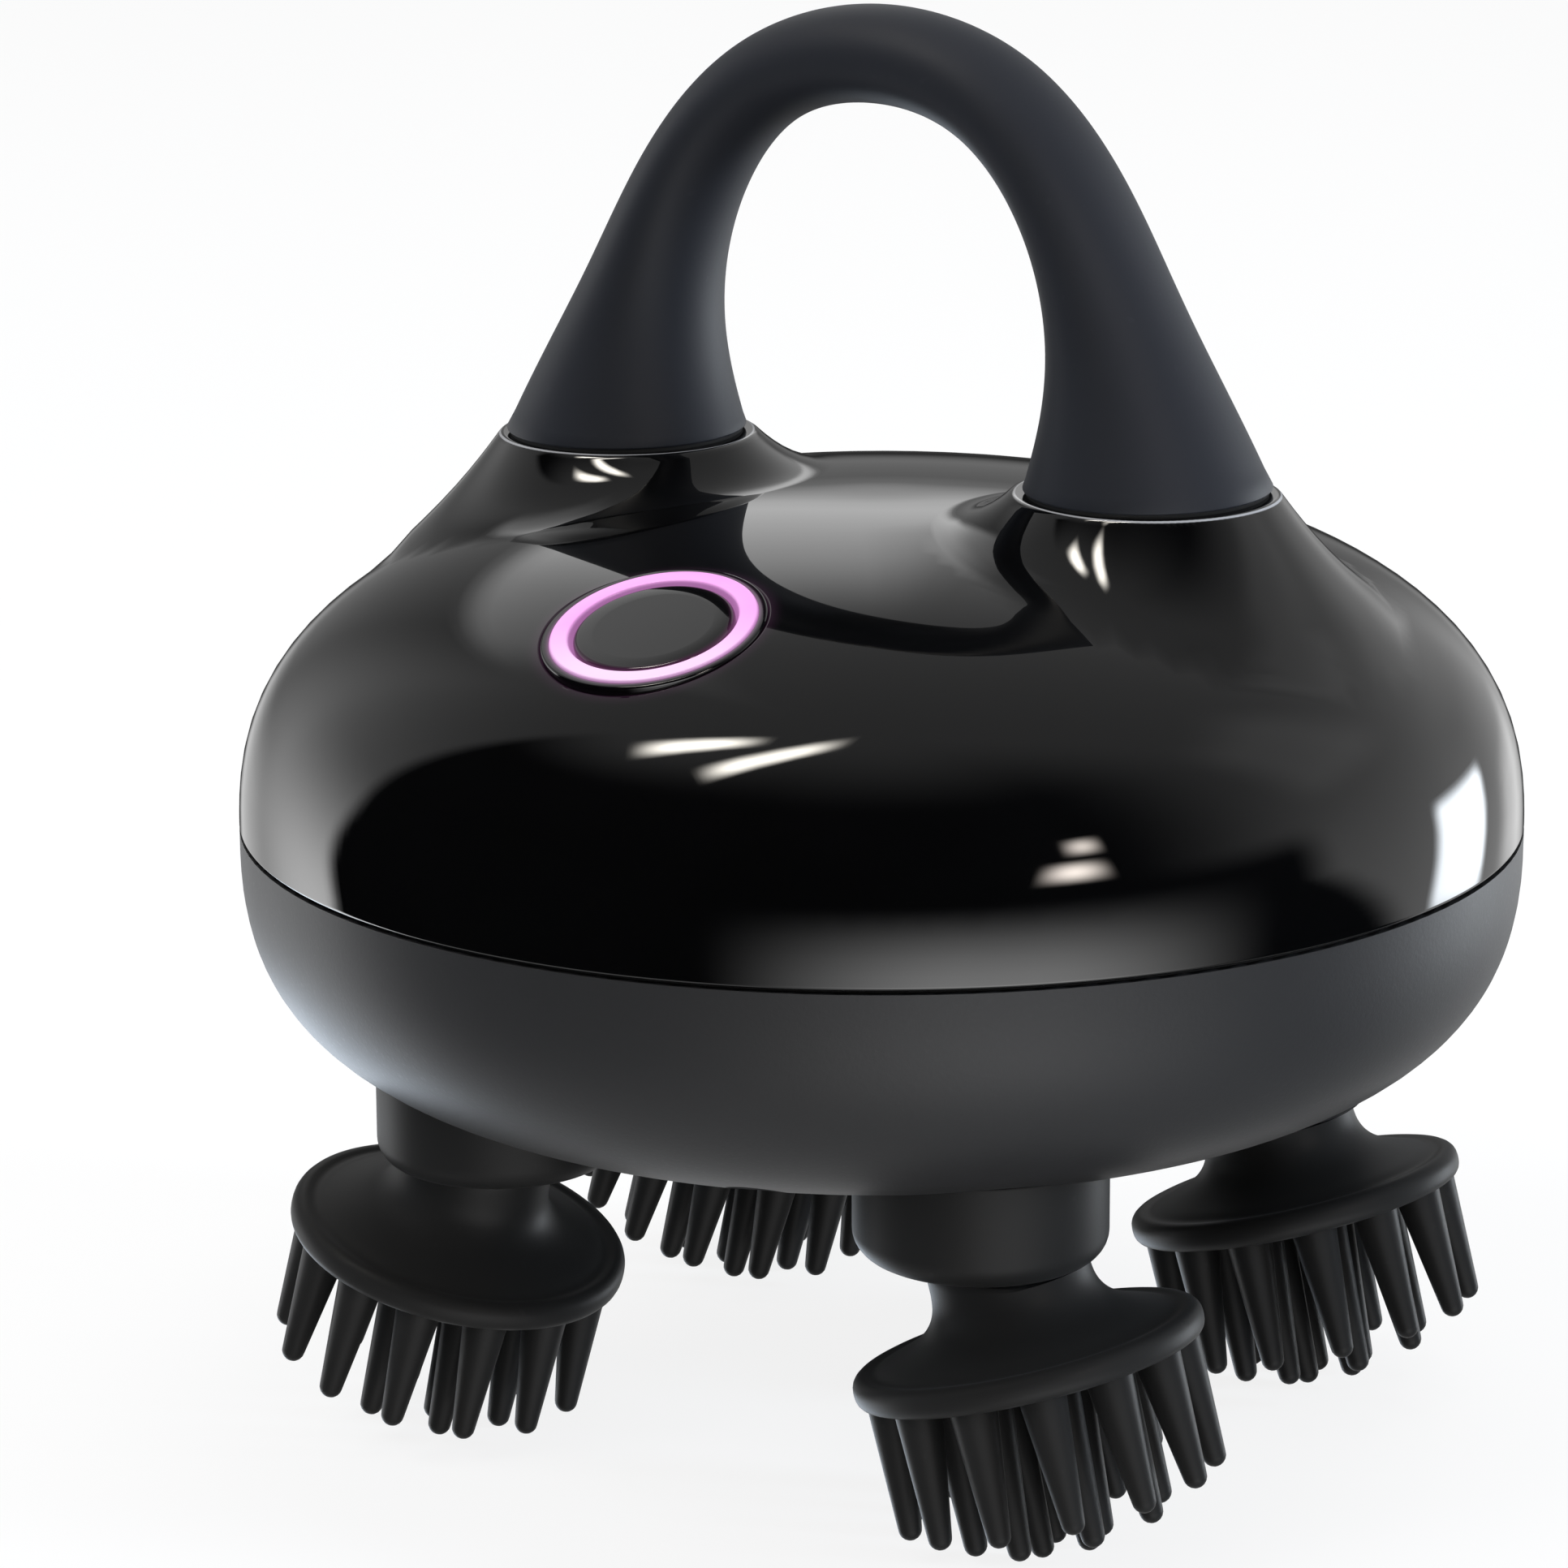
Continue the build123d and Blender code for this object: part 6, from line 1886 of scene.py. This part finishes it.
@dataclass
class Glow:
    """A lamp or window as the polished shell reflects it.

    Attributes:
        name: Its name.
        corners: Azimuth and elevation of its four corners, in order round it.
        tones: Brightness at the corners.
        soft: Share of its half width over which each edge fades, across and along.
        colour: Its colour.
        far: Its distance, in metres.
    """

    name: str
    corners: tuple[tuple[float, float], ...]
    tones: tuple[float, float, float, float]
    soft: tuple[float, float] = (0.5, 0.5)
    colour: Colour = (1.0, 1.0, 1.0)
    far: float = 1.4

    def build(self) -> None:
        """Makes the sheet."""
        u, v = np.meshgrid(np.linspace(0, 1, 25), np.linspace(0, 1, 25))
        shares = ((1 - u) * (1 - v), u * (1 - v), u * v, (1 - u) * v)
        directions = heading(*np.array(self.corners, float).T)
        toward = sum(share[..., None] * corner_to for share, corner_to in zip(shares, directions))
        toward /= np.linalg.norm(toward, axis=-1)[..., None]
        azimuth = np.degrees(np.arctan2(toward[..., 0], -toward[..., 1]))
        rise = np.degrees(np.arcsin(toward[..., 2]))
        tone = sum(share * level for share, level in zip(shares, self.tones))
        for place, soft in ((u, self.soft[0]), (v, self.soft[1])):
            tone = tone * smooth(1 - np.abs(2 * place - 1), 0, max(soft, 1e-3))
        reflected(self.name, azimuth, rise, tone, self.far, self.colour, clear=True)


@dataclass
class Studio:
    """Floor, world, lamps and what the shell reflects.

    Attributes:
        floor_half: Half the floor's width, in metres.
        floor_tone: Its grey.
        floor_white: How far it is lifted to white where it is seen.
        floor_fade: Where the floor's shading starts and ends to fade out.
        sky: Level of the light from all round.
        lamps: The lamps.
        glows: The bright shapes in the shell's reflections.
    """

    floor_half: float = 3.0
    floor_tone: float = 0.86
    floor_white: float = 0.85
    floor_fade: tuple[float, float] = (0.25, 0.7)
    sky: float = 0.5
    lamps: tuple[Lamp, ...] = (
        Lamp("key_softbox", (-0.55, -0.75, 1.15), (0, 0, 0.05), (0.8, 0.8), 9.0),
        Lamp("top_softbox", (0.1, 0.25, 1.3), (0, 0, 0.05), (0.7, 0.7), 6.0),
        Lamp("cool_low_left", (-0.85, -0.5, 0.05), (0, 0, 0.04), (0.3, 0.5), 4.0, (0.7, 0.83, 1.0)),
        Lamp("cool_right", (0.9, 0.33, 0.3), (0, 0, 0.06), (0.14, 0.45), 9.0, (0.72, 0.84, 1.0)),
    )
    glows: tuple[Glow, ...] = (
        Glow(
            "window", ((139.5, -17), (162.5, -15), (164.5, 6), (142, 9)), (9.0, 10.0, 10.0, 14.0),
            (0.4, 0.4), (0.88, 0.94, 1.0),
        ),
        Glow(
            "strip_left", ((-50, 60.5), (-46, 78.2), (-72, 80.3), (-68, 64)), (36.0, 38.0, 32.0, 36.0),
            (0.8, 1.0), (1.0, 0.95, 0.86),
        ),
        Glow(
            "strip_right", ((-21, 60.8), (-8, 84.5), (-115, 87.4), (-37.5, 66.2)), (36.0, 34.0, 28.0, 36.0),
            (0.7, 1.0), (1.0, 0.95, 0.86),
        ),
        Glow(
            "spot_high", ((64, 30.5), (74, 30.5), (75.5, 40.5), (65.5, 40.5)), (17.0, 17.0, 17.0, 17.0),
            (1.0, 1.0), (1.0, 0.9, 0.82),
        ),
        Glow(
            "spot_low", ((56, 18.5), (73.5, 18.5), (73.5, 30.5), (59.5, 30.5)), (25.0, 25.0, 25.0, 25.0),
            (1.0, 1.0), (1.0, 0.9, 0.82),
        ),
        Glow(
            "floor_left", ((-145, -15), (-84, -18), (-86, -47), (-138, -47)), (7.4, 4.8, 2.9, 2.9),
            (0.8, 0.6), (0.74, 0.86, 1.0),
        ),
    )

    def world(self) -> None:
        """White where it is seen or reflected, and a softer level as light."""
        made = bpy.data.worlds.new("studio_world")
        bpy.context.scene.world = made
        made.use_nodes = True
        graph = Graph(made.node_tree)
        path = graph.node("ShaderNodeLightPath")
        seen = Signal(graph, path.outputs["Is Camera Ray"])
        for kind in ("Is Glossy Ray", "Is Transmission Ray"):
            seen = seen.most(Signal(graph, path.outputs[kind]))
        tone = graph.blend(seen, (self.sky,) * 3, (1.0, 1.0, 1.0))
        sky = graph.node("ShaderNodeBackground", inputs={"Color": tone})
        graph.node("ShaderNodeOutputWorld", inputs={"Surface": sky.outputs[0]})

    def floor(self) -> None:
        """Plain pale floor."""
        half = self.floor_half / MM
        blank = Blank()
        blank.row([(-half, -half, 0), (half, -half, 0), (half, half, 0), (-half, half, 0)])
        blank.faces.append((0, 1, 2, 3))
        made = piece("floor", blank.mesh("floor"))
        made.visible_glossy = False
        material, graph = new_material("pale_floor")
        tone = graph.blend(graph.noise(6, 2), (self.floor_tone * 0.99,) * 3, (self.floor_tone,) * 3)
        seen = Signal(graph, graph.node("ShaderNodeLightPath").outputs["Is Camera Ray"])
        shaded = graph.node("ShaderNodeBsdfDiffuse", inputs={"Color": tone})
        white = graph.node("ShaderNodeEmission", inputs={"Color": (1.0, 1.0, 1.0, 1.0), "Strength": 1.0})
        # a place read as one number is the mean of its parts, so the shading fades out along one
        # diagonal of the floor, where its far corner would show
        faded = graph.place().size().step(*self.floor_fade)
        share = faded * (1 - self.floor_white) + self.floor_white
        shaders = {0: seen * share, 1: shaded.outputs[0], 2: white.outputs[0]}
        mixed = graph.node("ShaderNodeMixShader", inputs=shaders)
        graph.node("ShaderNodeOutputMaterial", inputs={"Surface": mixed.outputs[0]})
        made.data.materials.append(material)

    def build(self) -> None:
        """Makes the whole studio."""
        bpy.context.scene.view_settings.view_transform = "Standard"
        self.world()
        self.floor()
        Surround().build()
        for light in (*self.glows, *self.lamps):
            light.build()


# ==================================================================== assembly


def main() -> None:
    """Builds and dresses every piece, in order from the studio to the fingers."""
    logging.basicConfig(level=logging.INFO, format="%(name)s %(message)s")
    Camera().build()
    Studio().build()
    button = PowerButton()
    pieces = [
        (UpperShell().build(), "upper_shell", Finishes.PIANO_BLACK),
        (LowerShell().build(), "lower_shell", Finishes.CHARCOAL),
        (Handle().build(), "handle_grip", Finishes.SLATE_GRIP),
        (button.cap(), "button_cap", Finishes.KEY_BLACK),
        (button.light(), "light_ring", Finishes.PINK_GUIDE),
        (button.bezel(), "button_bezel", Finishes.BEZEL_BLACK),
        (charge_flap(), "charge_cover", Finishes.SEAL_RUBBER),
    ]
    replaced = set()
    for made, node, finish in pieces:
        stand_for(made, node)
        replaced.add(node)
    for end, depth in (("front", -1), ("back", 1)):
        for hand, side in (("left", -1), ("right", 1)):
            name = f"{end}_{hand}"
            DriveHead(name, side, depth).build()
            replaced |= {f"drive_cup_{name}", f"massage_head_{name}"}
    for screws in (
        ScrewSet(
            "shell_screws", "long_shell_screws",
            ((40.0, 0.0), (-40.0, 0.0), (12.0, -38.6), (-12.0, -38.6), (0.0, 37.0)),
            -12.0, (2.1, 1.6, 1.25, 14.0, 1.05),
        ),
        ScrewSet(
            "handle_screws", "grip_screws",
            ((24.6, 4.5), (24.6, -4.5), (-24.6, 4.5), (-24.6, -4.5)),
            25.4, (2.7, 1.8, 1.45, 11.0, 1.35),
        ),
    ):
        screws.build()
        replaced.add(screws.node)
    InnerPieces().dress(replaced)


if __name__ == "__main__":
    main()
